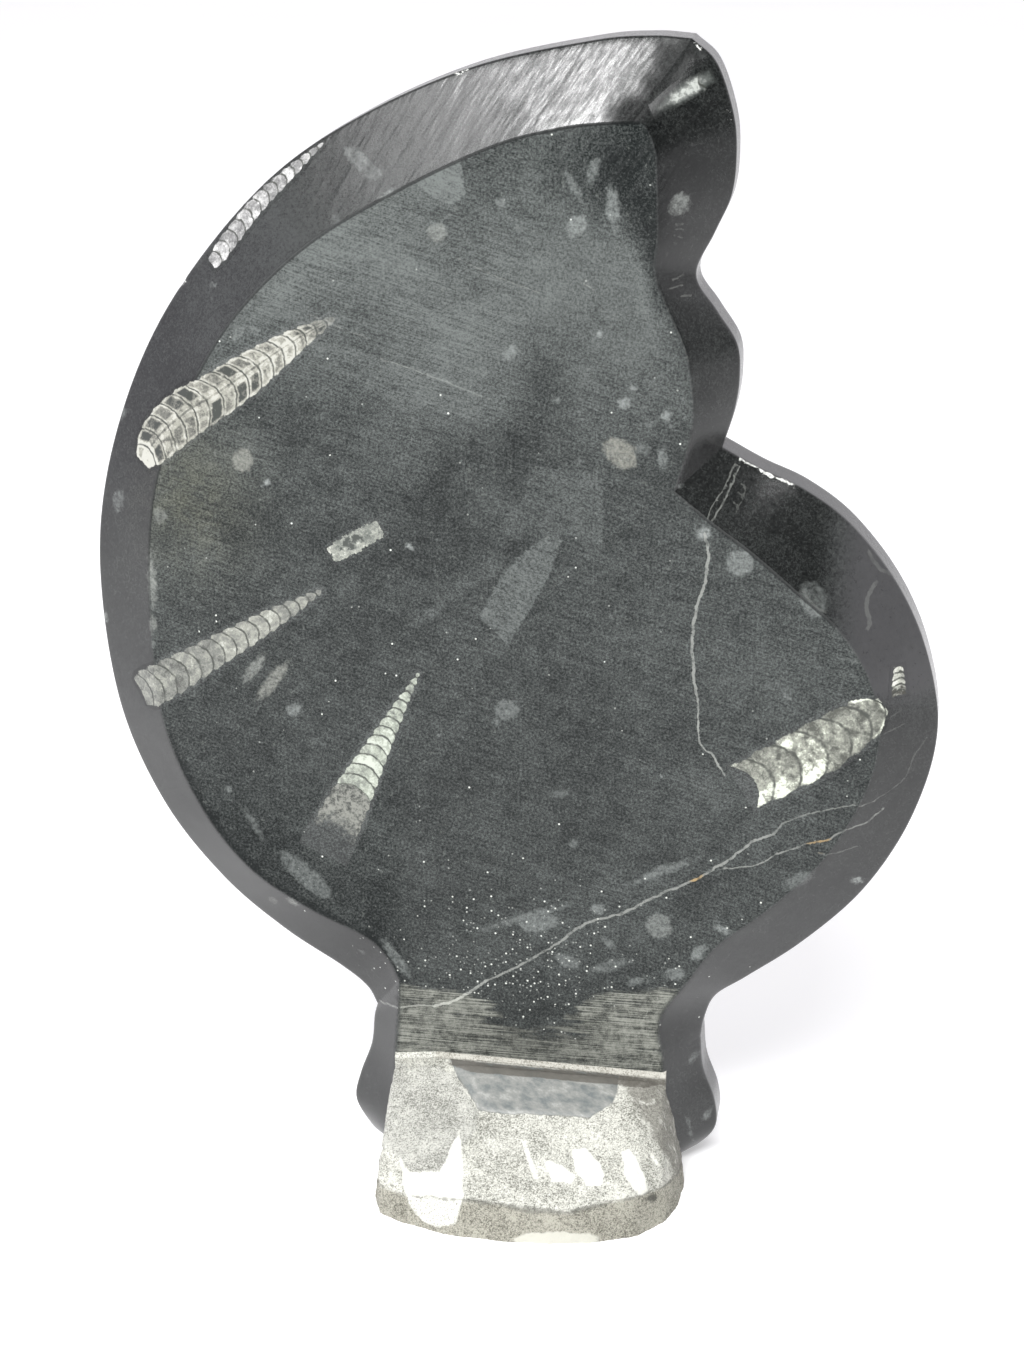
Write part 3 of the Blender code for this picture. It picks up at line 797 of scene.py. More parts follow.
def marks_at(co, flat, front):
    """Veins, blotches, patches, and white chips along the arrises that are partly painted highlights."""
    x, z = flat.T
    count = len(co)
    vein, strength = nearest(count, 1, vein_marks(flat, front))
    blotch, blotch_tone, warmth = nearest(count, 2, blotch_marks(x, z, front))
    patch, patch_tone = nearest(count, 1, patch_marks(flat, front))
    chip_and_glint = np.full(count, 3.0)
    for half, path in CHIPS_AND_GLINTS:
        chip_and_glint = np.minimum(chip_and_glint, line_distance(co, path) - half)
    return {
        "vein": np.clip(vein, -1, 3), "vein_strength": strength,
        "vein_rust": np.max([hill(x - x0, z - z0, reach, reach) for x0, z0, reach in RUST], axis=0),
        "blotch": np.clip(blotch, -3, 3), "blotch_tone": blotch_tone, "blotch_warmth": warmth,
        "patch": np.clip(patch, -3, 3), "patch_tone": patch_tone, "chip_and_glint": chip_and_glint,
    }


def finish_at(flat, edge):
    """How the front is tinted, scratched, buffed, sawn and worn from place to place."""
    x, z = flat.T
    lower_left = smooth_step(z, 50, 60) * smooth_step(z, 138, 118) * (x < -28)
    crisp = 0.3 + 0.7 * smooth_step(z, 150, 190) * (x < 34) + 0.7 * (x > 50) * (z > 168)
    hazy = smooth_step(z, 262, 282) * smooth_step(x, 44, 36) * (0.12 + 0.88 * smooth_step(x, -14, 6))
    finger = 13 * waves_at(flat * (0.03, 0.7), 1, 12.4) * smooth_step(z, 55, 49)
    above_saw = z - np.interp(x + finger, *zip(*SAW_TOP))
    soft = 1.1 + 3.4 * hill(x - 8, 0, 16, 1)
    return {
        "olive": hill(x + 86, z - 194, 17, 20), "hazy": hazy, "crisp": np.clip(crisp, 0, 1),
        "buffed": smooth_step(z, 258, 278) * (x < 47) * (0.35 + 0.65 * smooth_step(x, 2, -16)),
        "sliver": smooth_step(-edge, 2.6, 1.2) * (edge < 0) * lower_left,
        "dull": smooth_step(x, 80, 96) * smooth_step(z, 140, 152),
        "specks": hill(x - 6, z - 62, 30, 17), "worn": hill(x - 8, z - 41, 17, 8),
        "sawn": smooth_step(above_saw, soft, -soft) * (edge < 0.3) * (z > 26),
    }


def paint(mesh):
    """Markings of the polished stone as attributes, by position."""
    co = coordinates(mesh)
    flat = co[:, [0, 2]]
    x, z = flat.T
    front = co[:, 1] < RIM_Y + 0.5
    edge = np.where(front, in_polygon_distance(flat, EDGE), FAR)
    cloud = clouds_at(flat)
    plainer = 1 - 0.65 * smooth_step(x, -6, 18) * smooth_step(z, 222, 244)
    crease = segment_distance(flat, *TIP_CREASE) + 3 * waves_at(flat, 0.25, 5.5)
    tip = smooth_step(crease, 8, 1.5) * front
    lower = smooth_step(z, 128, 98) * smooth_step(z, 20, 34) * smooth_step(x, -24, -36)
    set_attributes(mesh, {
        "edge": np.clip(edge, -FAR, FAR), "cloud": cloud * front, "scratched": (0.45 + cloud) * plainer,
        "tip": tip, "gloss": 1 - 0.75 * tip - 0.4 * lower,
    })
    set_attributes(mesh, marks_at(co, flat, front))
    set_attributes(mesh, {name: values * front for name, values in finish_at(flat, edge).items()})


def paint_foot(mesh):
    """Markings of the broken foot as attributes, by position."""
    co = coordinates(mesh)
    x, y, z = co.T
    seen, front = flattened(co)
    across, up = seen.T

    def reach_to(*outlines):
        reach = np.min([in_polygon_distance(seen, outline) for outline in outlines], axis=0)
        return np.clip(np.where(front, reach, FAR), -5, 5)

    arris = np.where(front, line_distance(seen, FOOT_ARRIS), FAR)
    arris = np.clip(arris / (0.5 + 0.5 * hill(across - 8, 0, 14, 1)), 0, 5)
    below = up - np.interp(across, *zip(*FOOT_ARRIS))
    side = smooth_step(across - np.interp(up, *zip(*SIDE_ARRIS)), -0.6, 0.6)
    side = np.where(y < -1, side * smooth_step(below, -1.5, 0.5), x > 30)
    # darker spots low at the left and right of the foot's front, near the floor
    low_dark_spots = hill(across + 37, up - 2, 1.6, 4) + hill(across - 41, up + 2.6, 2.4, 1.6)
    under_top = z - LEDGE_TOP + LEDGE_FALL * (x - LEDGE_START) / LEDGE_LENGTH
    inner = (y > -3.2) & (y < 2)
    kerf = smooth_step(under_top, -1.2, -1.9) * smooth_step(under_top, -4.2, -3.2) * inner
    set_attributes(mesh, {
        "smooth_break": reach_to(SMOOTH_BREAK), "lobe": reach_to(FOOT_LOBE),
        "low_chip": reach_to(LOW_CHIP), "calcite": reach_to(*CALCITE), "arris": arris,
        "front_wall": smooth_step(below, 0.6, -0.6) * (y < 0), "side_break": side,
        "low_dark_spots": np.clip(low_dark_spots, 0, 1) * front, "ledge": smooth_step(under_top, -1.9, -1.2) * inner,
        "crumbly": smooth_step(x, -17, -23) * (under_top > -3.5) * inner,
        "kerf": kerf * smooth_step(x, -20, -14),
    })


# ---------------------------------------------------------------- materials

PRINCIPLED = "Principled BSDF"
CALCITE_IOR = 1.62
POLISHED_LEVEL, HONED_LEVEL, SHELL_LEVEL = 0.39, 0.16, 0.3  # specular levels


class Value:
    """An output of a node. Sums, products and ramps of it add further nodes."""

    def __init__(self, nodes, socket):
        self.nodes = nodes
        self.socket = socket

    def __add__(self, other):
        return self.nodes.math("ADD", self, other)

    def __sub__(self, other):
        return self.nodes.math("SUBTRACT", self, other)

    def __rsub__(self, other):
        return self.nodes.math("SUBTRACT", other, self)

    def __mul__(self, other):
        return self.nodes.math("MULTIPLY", self, other)

    def __abs__(self):
        return self.nodes.math("ABSOLUTE", self)

    __radd__, __rmul__ = __add__, __mul__

    def swing(self, amount):
        """How far the value is from one half, times a number."""
        return (self - 0.5) * amount

    def ramp(self, low, high, to_low=0.0, to_high=1.0):
        """A smooth step from to_low to to_high while the value goes from low to high."""
        fed = dict(enumerate((self, low, high, to_low, to_high)))
        return self.nodes.value("MapRange", fed, interpolation_type="SMOOTHSTEP")


class Nodes:
    """A short way to write the nodes of a material or of the world."""

    def __init__(self, owner):
        owner.use_nodes = True
        self.owner = owner
        self.tree = owner.node_tree

    def new(self, kind, fed, **settings):
        node = self.tree.nodes.new("ShaderNode" + kind)
        for key, value in settings.items():
            setattr(node, key, value)
        for key, value in fed.items():
            self.feed(node.inputs[key], value)
        return node

    def value(self, kind, fed, output=0, **settings):
        return Value(self, self.new(kind, fed, **settings).outputs[output])

    def feed(self, socket, value):
        if isinstance(value, Value):
            self.tree.links.new(value.socket, socket)
        elif isinstance(value, tuple) and socket.type == "RGBA":
            socket.default_value = (*value, 1)
        else:
            socket.default_value = value

    def shade(self, shader, fed):
        """Feeds sockets of the shader that the owner starts with."""
        for key, value in fed.items():
            self.feed(self.tree.nodes[shader].inputs[key], value)

    @cached_property
    def place(self):
        """The position on the object in mm."""
        return self.scaled(self.value("TexCoord", {}, "Object"), 1 / MM)

    def scaled(self, vector, factor):
        return self.value("VectorMath", {0: vector, "Scale": factor}, operation="SCALE")

    def math(self, operation, *values, clamp=False):
        return self.value("Math", dict(enumerate(values)), operation=operation, use_clamp=clamp)

    def mix(self, factor, a, b, blend="MIX"):
        return self.value("Mix", {0: factor, 6: a, 7: b}, 2, data_type="RGBA", blend_type=blend)

    def layered(self, colour, *layers):
        """The colour with others laid over it in turn, each as (where, colour)."""
        for where, over in layers:
            colour = self.mix(where, colour, over)
        return colour

    def noise(self, scale, detail=3.0, roughness=0.5, stretch=(1, 1, 1), turn=0.0, warp=0.0, shift=0.0):
        """Noise with this many waves per mm, optionally stretched and turned in the face's plane."""
        place = self.place
        if shift:
            place = self.value("Mapping", {
                "Vector": place, "Rotation": (0, math.radians(turn), 0),
                "Scale": [1 / s for s in stretch], "Location": (shift, shift, shift),
            }, vector_type="TEXTURE")
        return self.value("TexNoise", {
            "Vector": place, "Scale": scale, "Detail": detail, "Roughness": roughness, "Distortion": warp,
        })

    def cells(self, scale):
        """The distance to the middle of the nearest cell, and that cell's random colour."""
        node = self.new("TexVoronoi", {"Vector": self.place, "Scale": scale})
        return Value(self, node.outputs["Distance"]), Value(self, node.outputs["Color"])

    def parts(self, colour):
        return [Value(self, out) for out in self.new("SeparateColor", {0: colour}).outputs]

    def luck(self, number):
        return self.value("TexWhiteNoise", {"W": number}, noise_dimensions="1D")

    def painted(self, name):
        return self.value("Attribute", {}, "Fac", attribute_name=name)

    def bump(self, height):
        return self.value("Bump", {"Strength": 1.0, "Distance": MM, "Height": height})


# Colours of the cut stone, each pair from dark to light.
STONE = (0.0055, 0.0072, 0.0072), (0.118, 0.129, 0.124)
OLIVE_TINT = (1.04, 1.0, 0.84)
FLECK = (0.13, 0.14, 0.13)
DULL_STONE = (0.035, 0.035, 0.0365), (0.056, 0.056, 0.058)
BLOTCH, WARM_BLOTCH = (0.26, 0.28, 0.27), (0.27, 0.25, 0.19)
SPECK = (0.6, 0.62, 0.58)
DUST, PALE_GRAIN = ((0.022, 0.024, 0.021), (0.255, 0.262, 0.23)), (0.32, 0.328, 0.3)
VEIN, DUSTY_VEIN, RUSTY_VEIN = (0.27, 0.28, 0.26), (0.4, 0.41, 0.37), (0.42, 0.3, 0.15)
DARK_LINE, CHIP_AND_GLINT_WHITE = (0.006, 0.007, 0.007), (0.62, 0.63, 0.60)


def bare_stone(n, band, curds, grain, ragged):
    """The black stone itself, with clouds, mottle, grain, paler patches, scratches and flecks."""
    face = 1.0 - band
    mottle = n.noise(0.2, 6, 0.68, warp=0.8)
    light = n.painted("cloud") + n.noise(0.035, 4, 0.6).swing(0.9) + mottle.swing(1.1)
    light += curds.swing(0.9)
    light += grain.swing(4.4)
    striae = n.noise(0.7, 5, 0.75, stretch=(0.35, 1, 1.2), turn=31, shift=27.0)
    patch = (n.painted("patch") + ragged * 0.3).ramp(0.45, -0.45) * n.painted("patch_tone") * face
    light += patch * (striae.swing(2.8) + 0.66)
    scratches = n.noise(1.0, 4, 0.7, stretch=(0.04, 1, 2.0), turn=19, shift=4.0).swing(1.6)
    scratches += n.noise(1.0, 4, 0.7, stretch=(0.05, 1, 2.6), turn=-34, shift=7.0).swing(0.9)
    scratches += n.noise(1.0, 4, 0.7, stretch=(0.04, 1, 2.4), turn=7, shift=15.0).swing(1.1)
    light += scratches * n.painted("scratched") * (face * 1.4)
    level = (light * 0.55 + 0.055 - n.painted("sliver") * 0.2).ramp(-0.3, 0.85)
    colour = n.mix(level, *STONE)
    olive = n.painted("olive") * mottle.ramp(0.35, 0.6, 0.5, 1.0)
    colour = n.mix(olive, colour, n.mix(1.0, colour, OLIVE_TINT, "MULTIPLY"))
    fleck = n.cells(0.42)[0].ramp(0.36, 0.24) * n.noise(0.9, 2, 0.5, shift=31.0).ramp(0.56, 0.66)
    return n.mix(fleck * 0.35, colour, FLECK)


def where_blotched(n, band, ragged):
    inner = n.noise(0.8, 5, 0.8, shift=5.0).ramp(0.34, 0.66, 0.25, 1.3) * (1.0 - band * 0.3)
    spot = (n.painted("blotch") + ragged).ramp(0.5, -0.6) * n.painted("blotch_tone")
    return n.math("MULTIPLY", spot, inner, clamp=True)


def where_specked(n, face):
    dot, random = n.cells(1.0)
    chance, size, _ = n.parts(random)
    picked = n.math("LESS_THAN", chance, n.painted("specks") * 0.42 + face * 0.006)
    return dot.ramp(0.36, 0.16) * picked * (size * 0.75 + 0.25)


def where_sawn(n, streak, worn):
    """Where the saw's rough hatch is left, above the foot."""
    sawn = n.painted("sawn")
    patchy = n.noise(0.2, 5, 0.75, stretch=(0.6, 1, 1.3), shift=13.0)
    zone = (sawn + patchy.swing(2.2) - worn * 0.15 + streak.swing(2.4)).ramp(0.2, 0.95)
    return zone * sawn.ramp(0.0, 0.25) * (n.painted("edge") + streak.swing(5.0)).ramp(0.7, -1.3)


def saw_dust(n, streak, grain, worn):
    powder = streak * 0.58 + n.noise(0.3, 6, 0.85, shift=33.0) * 0.42
    dust = n.mix(powder.ramp(0.41, 0.6), *DUST)
    dust = n.mix(grain.ramp(0.54, 0.68, 0.0, 0.6), dust, PALE_GRAIN)
    return n.scaled(dust, 1.0 - worn * 0.35)


def where_veined(n):
    vein = (n.painted("vein") + n.noise(0.9, 4, 0.7, shift=17.0).swing(0.9)).ramp(0.14, -0.06)
    broken = n.noise(0.35, 4, 0.7, shift=23.0).ramp(0.32, 0.56, 0.3, 1.0)
    return n.math("MULTIPLY", vein * n.painted("vein_strength"), broken, clamp=True)


def polished_look(n):
    """Colour, roughness and height of the cut limestone."""
    band = n.painted("edge").ramp(-0.1, 0.5)
    face = 1.0 - band
    curds = n.noise(0.75, 5, 0.7, warp=0.5, shift=19.0)
    grain = n.noise(1.5, 4, 0.85)
    ragged = n.noise(0.7, 4, 0.6, shift=11.0).swing(2.4)
    streak = n.noise(1.0, 5, 0.75, stretch=(0.04, 1, 2.6), shift=3.0)
    worn, dull, tip, buff = (n.painted(name) for name in ("worn", "dull", "tip", "buffed"))
    zone = where_sawn(n, streak, worn)
    rusty = (n.painted("vein_rust") + curds.swing(0.6)).ramp(0.3, 0.7)
    line = abs(n.painted("edge")).ramp(0.6, 0.15) * n.painted("crisp")
    crumbs = n.noise(0.8, 5, 0.8, shift=29.0).swing(4.5)
    chip_and_glint = (n.painted("chip_and_glint") + crumbs).ramp(0.1, -0.3)

    colour = bare_stone(n, band, curds, grain, ragged)
    colour = n.mix(dull * band, colour, n.mix(curds, *DULL_STONE))
    colour = n.layered(
        n.scaled(colour, 1.0 - band * (1.0 - dull) * 0.72),
        (where_blotched(n, band, ragged), n.mix(n.painted("blotch_warmth"), BLOTCH, WARM_BLOTCH)),
        (where_specked(n, face), SPECK),
        (zone * 0.92, saw_dust(n, streak, grain, worn)),
        (where_veined(n), n.mix(rusty, n.mix(zone, VEIN, DUSTY_VEIN), RUSTY_VEIN)),
        (line * 0.85, DARK_LINE),
        # white chips, on the shoulder's rim partly a painted highlight
        (chip_and_glint, CHIP_AND_GLINT_WHITE),
    )
    roughness = face * 0.27 + 0.20 + curds.swing(0.3) + (zone + chip_and_glint) * 0.3
    roughness += line * 0.3 + dull * 0.12
    roughness += band * (buff * 0.02 + tip * 0.2)
    fine_buff = n.noise(1.0, 4, 0.6, stretch=(0.05, 0.3, 0.7), turn=-60, shift=2.0)
    broad_buff = n.noise(0.35, 2, 0.5, stretch=(0.14, 0.3, 1), turn=-60, shift=6.0)
    height = (fine_buff * (buff * 0.06 + 0.015) + broad_buff * (buff * 0.2 + 0.02)) * band
    height += streak * zone * 0.14
    height += grain * (tip * 0.08 + 0.02)
    return colour, roughness, height


def cut_stone(name, level):
    """The same stone, polished bright on the band or honed on the face."""
    n = Nodes(bpy.data.materials.new(name))
    colour, roughness, height = polished_look(n)
    streaks = n.noise(1.1, 4, 0.7, stretch=(0.09, 0.3, 0.9), turn=-58, shift=36.0)
    hazy = streaks.ramp(0.64, 0.4) * (n.painted("hazy") * 0.6)
    n.shade(PRINCIPLED, {"Specular IOR Level": level})  # for an export that drops the linked level
    n.shade(PRINCIPLED, {
        "Specular IOR Level": n.painted("gloss") * (1.0 - hazy) * level, "IOR": CALCITE_IOR,
        "Base Color": colour, "Roughness": roughness, "Normal": n.bump(height),
    })
    return n.owner


# Colours of the broken stone, each pair from dark to light.
SALT = (0.13, 0.13, 0.108), (0.66, 0.66, 0.60)
CLAY, CLAY_WISP = ((0.12, 0.122, 0.105), (0.62, 0.62, 0.57)), (0.25, 0.25, 0.225)
# A darker copy of the foot's stone for its front wall: painted shade, as it faces away from the light
# above.
SHADED_FRONT_WALL = (0.08, 0.077, 0.06), (0.44, 0.43, 0.365)
BROWN, PALE_RIB = ((0.12, 0.117, 0.1), (0.34, 0.335, 0.298)), (0.56, 0.56, 0.51)
BLUISH, PALE_WISP = ((0.13, 0.148, 0.148), (0.25, 0.255, 0.24)), (0.38, 0.39, 0.37)
WHITE, SPOTTED_WHITE = (0.74, 0.74, 0.68), (0.3, 0.3, 0.26)
JOINT = (0.2, 0.192, 0.16), (0.5, 0.49, 0.44)
CRUMBLE = (0.2, 0.2, 0.17), (0.66, 0.66, 0.6)
LOW_BREAK, ARRIS_SHADE = (0.56, 0.555, 0.49), (0.10, 0.10, 0.085)
LOW_SPOT_DARK, KERF_SHADE = (0.06, 0.06, 0.052), (0.085, 0.078, 0.065)


def rough_stone():
    """Broken, weathered stone of the foot."""
    n = Nodes(bpy.data.materials.new("rough_stone"))
    stipple = n.noise(1.1, 5, 0.75)
    fine = n.noise(2.4, 3, 0.8, shift=9.0)
    broad = n.noise(0.12, 4, 0.65, shift=2.0)
    drift = n.noise(0.28, 4, 0.65, shift=24.0).swing(4.0)
    wisps = n.noise(0.5, 4, 0.7, stretch=(0.3, 0.6, 1), turn=25, shift=14.0)
    ribs = n.noise(0.5, 4, 0.7, stretch=(0.35, 1, 0.9), turn=52, shift=8.0)
    ragged = drift + stipple.swing(2.4)
    salt = (stipple * 0.35 + fine * 0.65 + broad.swing(0.25)).ramp(0.38, 0.58)
    softer = salt.swing(0.85) + 0.45
    front = n.painted("front_wall")
    smooth = (n.painted("smooth_break") + ragged * 0.35).ramp(0.25, -0.25)
    flecked = (fine + front * 0.12).ramp(0.60, 0.72)
    clay = n.mix(wisps.ramp(0.52, 0.68, 0.0, 0.55), n.mix(softer, *CLAY), CLAY_WISP)
    brown = n.mix(ribs.ramp(0.54, 0.68), n.mix(softer, *BROWN), PALE_RIB)
    bluish = n.mix(wisps.ramp(0.54, 0.68, 0.0, 0.6), n.mix(wisps.ramp(0.3, 0.6), *BLUISH), PALE_WISP)
    dark = n.painted("kerf") + wisps.swing(1.6) + stipple.swing(0.6)
    colour = n.layered(
        n.mix(salt, *SALT),
        ((n.painted("lobe") + ragged).ramp(0.8, -0.8), clay),
        # painted shade: the front wall in the darker copy of the stone
        (front, n.mix(softer, *SHADED_FRONT_WALL)),
        (n.painted("side_break"), brown),
        (smooth, bluish),
        ((n.painted("calcite") + ragged * 0.55).ramp(0.35, -0.25), n.mix(flecked, WHITE, SPOTTED_WHITE)),
        ((n.painted("low_chip") + ragged * 0.6).ramp(0.4, -0.4), LOW_BREAK),
        ((n.painted("arris") + drift * 0.9).ramp(1.3, 0.2) * 0.62, ARRIS_SHADE),
        # darker spots low at the left and right of the foot's front
        ((n.painted("low_dark_spots") + ragged * 0.4).ramp(0.5, 0.9) * 0.8, LOW_SPOT_DARK),
        ((n.painted("ledge") + ragged * 0.2).ramp(0.3, 0.7), n.mix(salt, *JOINT)),
        ((n.painted("crumbly") + stipple.swing(1.4)).ramp(0.4, 0.6), n.mix(salt, *CRUMBLE)),
        (dark.ramp(0.35, 0.75) * 0.8, KERF_SHADE),
    )
    height = (stipple * 0.4 + fine * 0.12) * (1.0 - smooth * 0.85)
    n.shade(PRINCIPLED, {
        "Base Color": colour, "Roughness": 0.88 - smooth * 0.42, "Normal": n.bump(height),
    })
    return n.owner


# Calcite of each style: dark, grey, pale and bright, the lift of its mean tone, and the chambers
# from and to which it grows lighter (or darker) by an amount.
TONES = {
    "bright": ((0.07, 0.07, 0.07), (0.17, 0.17, 0.168), (0.31, 0.31, 0.305), (0.62, 0.62, 0.61),
               0.02, (0.0, 1.0, 0.0)),
    "ringed": ((0.03, 0.034, 0.03), (0.12, 0.12, 0.105), (0.245, 0.245, 0.21), (0.38, 0.38, 0.34),
               0.0, (15.6, 15.8, 0.8)),
    "pale": ((0.07, 0.072, 0.065), (0.145, 0.15, 0.135), (0.225, 0.23, 0.20), (0.36, 0.37, 0.33),
             0.05, (9.0, 12.0, -0.2)),
    "body": ((0.08, 0.085, 0.075), (0.17, 0.185, 0.16), (0.285, 0.31, 0.26), (0.44, 0.47, 0.41),
             0.12, (3.0, 11.0, 0.16)),
    "cloudy": ((0.055, 0.058, 0.048), (0.135, 0.14, 0.12), (0.24, 0.25, 0.21), (0.56, 0.59, 0.50),
               0.0, (3.3, 5.4, 0.22)),
    "small": ((0.05, 0.048, 0.04), (0.24, 0.245, 0.22), (0.38, 0.39, 0.34), (0.6, 0.6, 0.55),
              0.15, (3.0, 3.6, -0.55)),
    "faint": ((0.05, 0.056, 0.052), (0.09, 0.098, 0.092), (0.19, 0.2, 0.188), (0.42, 0.44, 0.41),
              -0.12, (2.6, 3.6, -0.3)),
    "cored": ((0.04, 0.045, 0.04), (0.125, 0.135, 0.12), (0.23, 0.24, 0.21), (0.45, 0.46, 0.41),
              0.05, (0.0, 1.0, 0.0)),
}
SEPTUM = (0.035, 0.038, 0.032)
MUD = (0.035, 0.038, 0.034), (0.19, 0.195, 0.172)
MUD_CHAMBER = 13.0  # where the body chamber of the lower shell begins, filled with mud
CALCITE_ROUGHNESS = 0.36


def shell_tone(n, spec, chamber, whole, near):
    """How light the calcite is, about 0 to 1."""
    style, seed = spec["style"], spec["seed"]
    *_, lift, (start, end, amount) = TONES[style]
    across, rim = n.painted("across"), n.painted("rim")
    veil = n.noise(0.32, 5, 0.65, shift=seed + 1.0)
    fine = n.noise(1.5, 4, 0.75, shift=seed + 6.0)
    tone = n.luck(whole + seed * 1.37).swing(0.3) + (0.5 + lift)
    tone += veil.swing(1.7)
    tone += fine.swing(1.5)
    tone += n.parts(n.cells(0.7)[1])[0].swing(0.3)
    tone += chamber.ramp(start, end) * amount
    if style == "ringed":
        upper = n.math("GREATER_THAN", across, 0.0)
        half_luck = n.luck(whole + upper * 0.5 + seed * 2.11)
        tube = abs(across + 0.05) * 6.0 - 0.75
        ring = n.math("MINIMUM", n.math("MINIMUM", near, rim * -1.0), abs(tube))
        ring = (ring + fine.swing(1.7)).ramp(1.1, 0.6)
        core = (1.0 - ring) * n.math("GREATER_THAN", tube, 0.0)
        tone += ring * 0.26
        tone -= core * (half_luck.ramp(0.45, 0.75) * 0.42 + 0.08)
        tone -= abs(tube + 0.65).ramp(0.28, 0.1) * 0.3
        tone += abs(chamber - 4.2).ramp(1.0, 0.6) * 0.45
    if style == "cloudy":
        tone += across.ramp(0.1, 0.75) * chamber.ramp(2.2, 3.4) * 0.42
        tone -= n.noise(0.22, 5, 0.7, warp=1.2, shift=seed + 9.0).ramp(0.48, 0.62) * 0.38
        tone += rim.ramp(-1.3, -0.5) * chamber.ramp(0.9, 0.4) * 0.7
    if style == "pale":
        tone += chamber.ramp(4.0, 6.0) * chamber.ramp(11.0, 9.0) * 0.1
    if style == "faint":
        tone += rim.ramp(-0.6, -2.2) * 0.5
    if style == "cored":
        core = abs(chamber - 1.15) + abs(across - 0.1) * 0.9
        tone -= (core + veil.swing(2.4)).ramp(0.75, 0.35) * 0.7
    return tone


def shell_material(name, spec):
    """Calcite chambers with dark walls between them, and the stone around the ragged outline."""
    style, seed = spec["style"], spec["seed"]
    n = Nodes(bpy.data.materials.new(name + "_calcite"))
    stone, stone_rough, stone_height = polished_look(n)
    dark, grey, pale, bright = TONES[style][:4]

    pitch, rim = n.painted("pitch"), n.painted("rim")
    wobble = n.noise(0.55, 4, 0.6, shift=seed).swing(1.3)
    chamber = n.painted("chamber") + n.math("DIVIDE", wobble, pitch)
    part = n.math("FRACT", chamber)
    near = n.math("MINIMUM", part, 1.0 - part) * pitch
    tone = shell_tone(n, spec, chamber, chamber - part, near)
    colour = n.mix(tone.ramp(0.0, 0.4), dark, grey)
    colour = n.mix(tone.ramp(0.4, 0.68), colour, pale)
    colour = n.mix(tone.ramp(0.72, 1.02), colour, bright)
    line = near.ramp(0.85 if style == "cloudy" else 0.42, 0.12)
    line *= n.noise(0.5, 3, 0.6, shift=seed + 12.0).ramp(0.3, 0.55, 0.45, 0.95)
    if style == "faint":
        line *= abs(chamber - 3.0).ramp(0.5, 0.2)
    if style == "cored":
        line *= 0.0
    colour = n.mix(line, colour, SEPTUM)
    if style == "body":
        mud_tone = n.noise(0.9, 4, 0.7, shift=seed + 7.0) + tone.swing(0.12)
        mud = n.mix(mud_tone.ramp(0.38, 0.64), *MUD)
        colour = n.mix(chamber.ramp(MUD_CHAMBER, MUD_CHAMBER + 0.06), colour, mud)

    beads = n.math("COSINE", chamber * math.tau) * 0.5 + 0.5
    jag = n.noise(0.9, 4, 0.65, shift=seed + 2.0).swing(2.0 * spec["ragged"])
    body = (rim + jag + beads * spec["annulus"]).ramp(0.1, -0.2)
    if style == "body":
        breakup = n.noise(0.6, 4, 0.7, shift=seed + 3.0) + chamber.ramp(14.5, 18.5) * 0.75
        body *= breakup.ramp(0.6, 1.0, 1.0, 0.0)
    if style == "ringed":
        body *= chamber.ramp(0.0, 3.5, 0.2, 1.0)
    if style == "faint":
        body = (rim + jag * 0.9).ramp(0.1, -1.7) * chamber.ramp(0.2, 1.6, 0.3, 0.85)
    roughness = n.value("Mix", {0: body, 2: stone_rough, 3: CALCITE_ROUGHNESS}, data_type="FLOAT")
    n.shade(PRINCIPLED, {
        "Base Color": n.mix(body, stone, colour), "Roughness": roughness, "IOR": CALCITE_IOR,
        "Normal": n.bump(stone_height + line * body * -0.05), "Specular IOR Level": SHELL_LEVEL,
    })
    return n.owner


# ---------------------------------------------------------------- building


def ground(surface, x, z):
    """The slab's surface and its outward normal where it is seen at (x, z)."""
    hit, normal, _, _ = surface.ray_cast((x * MM, AHEAD_Y * MM, z * MM), INTO_STONE)
    if hit is None or hit.y > (RIM_Y + 1) * MM:
        hit, normal, _, _ = surface.find_nearest((x * MM, RIM_Y * MM, z * MM))
    return hit, -normal if normal.y > 0 else normal


def shell_rows(spec, surface):
    """Rows of a shell's points, each with its top, its bottom and what is painted there."""
    run = Run(spec["stations"])
    total = run.length
    chambers, growth = spec["chambers"], spec["growth"]
    widest = max(half for _, _, half in spec["stations"])
    columns = max(8, 2 * round((widest + SHELL_MARGIN) / SHELL_STEP))
    steps = max(8, round((total + 2 * SHELL_MARGIN) / SHELL_STEP))
    rows = []
    for i in range(steps + 1):
        along = -SHELL_MARGIN + (total + 2 * SHELL_MARGIN) * i / steps
        kept = min(max(along, 0.0), total)
        x, z, half = run.at(kept)
        ax, az, _ = run.at(min(kept + 0.5, total))
        bx, bz, _ = run.at(max(kept - 0.5, 0.0))
        length = math.dist((ax, az), (bx, bz))
        dx, dz = (ax - bx) / length, (az - bz) / length
        x += dx * (along - kept)
        z += dz * (along - kept)
        share = kept / total
        grown = chambers * share ** (1 / growth)
        pitch = max(total / chambers * growth * share ** (1 - 1 / growth), 0.4)
        row = []
        for j in range(columns + 1):
            side = (-1 + 2 * j / columns) * (half + SHELL_MARGIN)
            hit, normal = ground(surface, x - dz * side, z + dx * side)
            inner = min(1.0, abs(side) / half)
            depth = 0.3 + 0.85 * half * math.sqrt(1 - inner**2)
            top, bottom = hit + normal * SHELL_LIFT * MM, hit - normal * depth * MM
            ends = [tuple(c / MM for c in point) for point in (top, bottom)]
            mouth = along - total + spec.get("notch", 0.0) * (1 - inner * inner)
            bow = spec["sag"] * half * (side / half) ** 2
            painted = {
                "chamber": grown + (along - kept - bow) / pitch, "across": side / half,
                "rim": max(abs(side) - half, -along, mouth), "pitch": pitch,
            }
            row.append((*ends, painted))
        rows.append(row)
    return rows


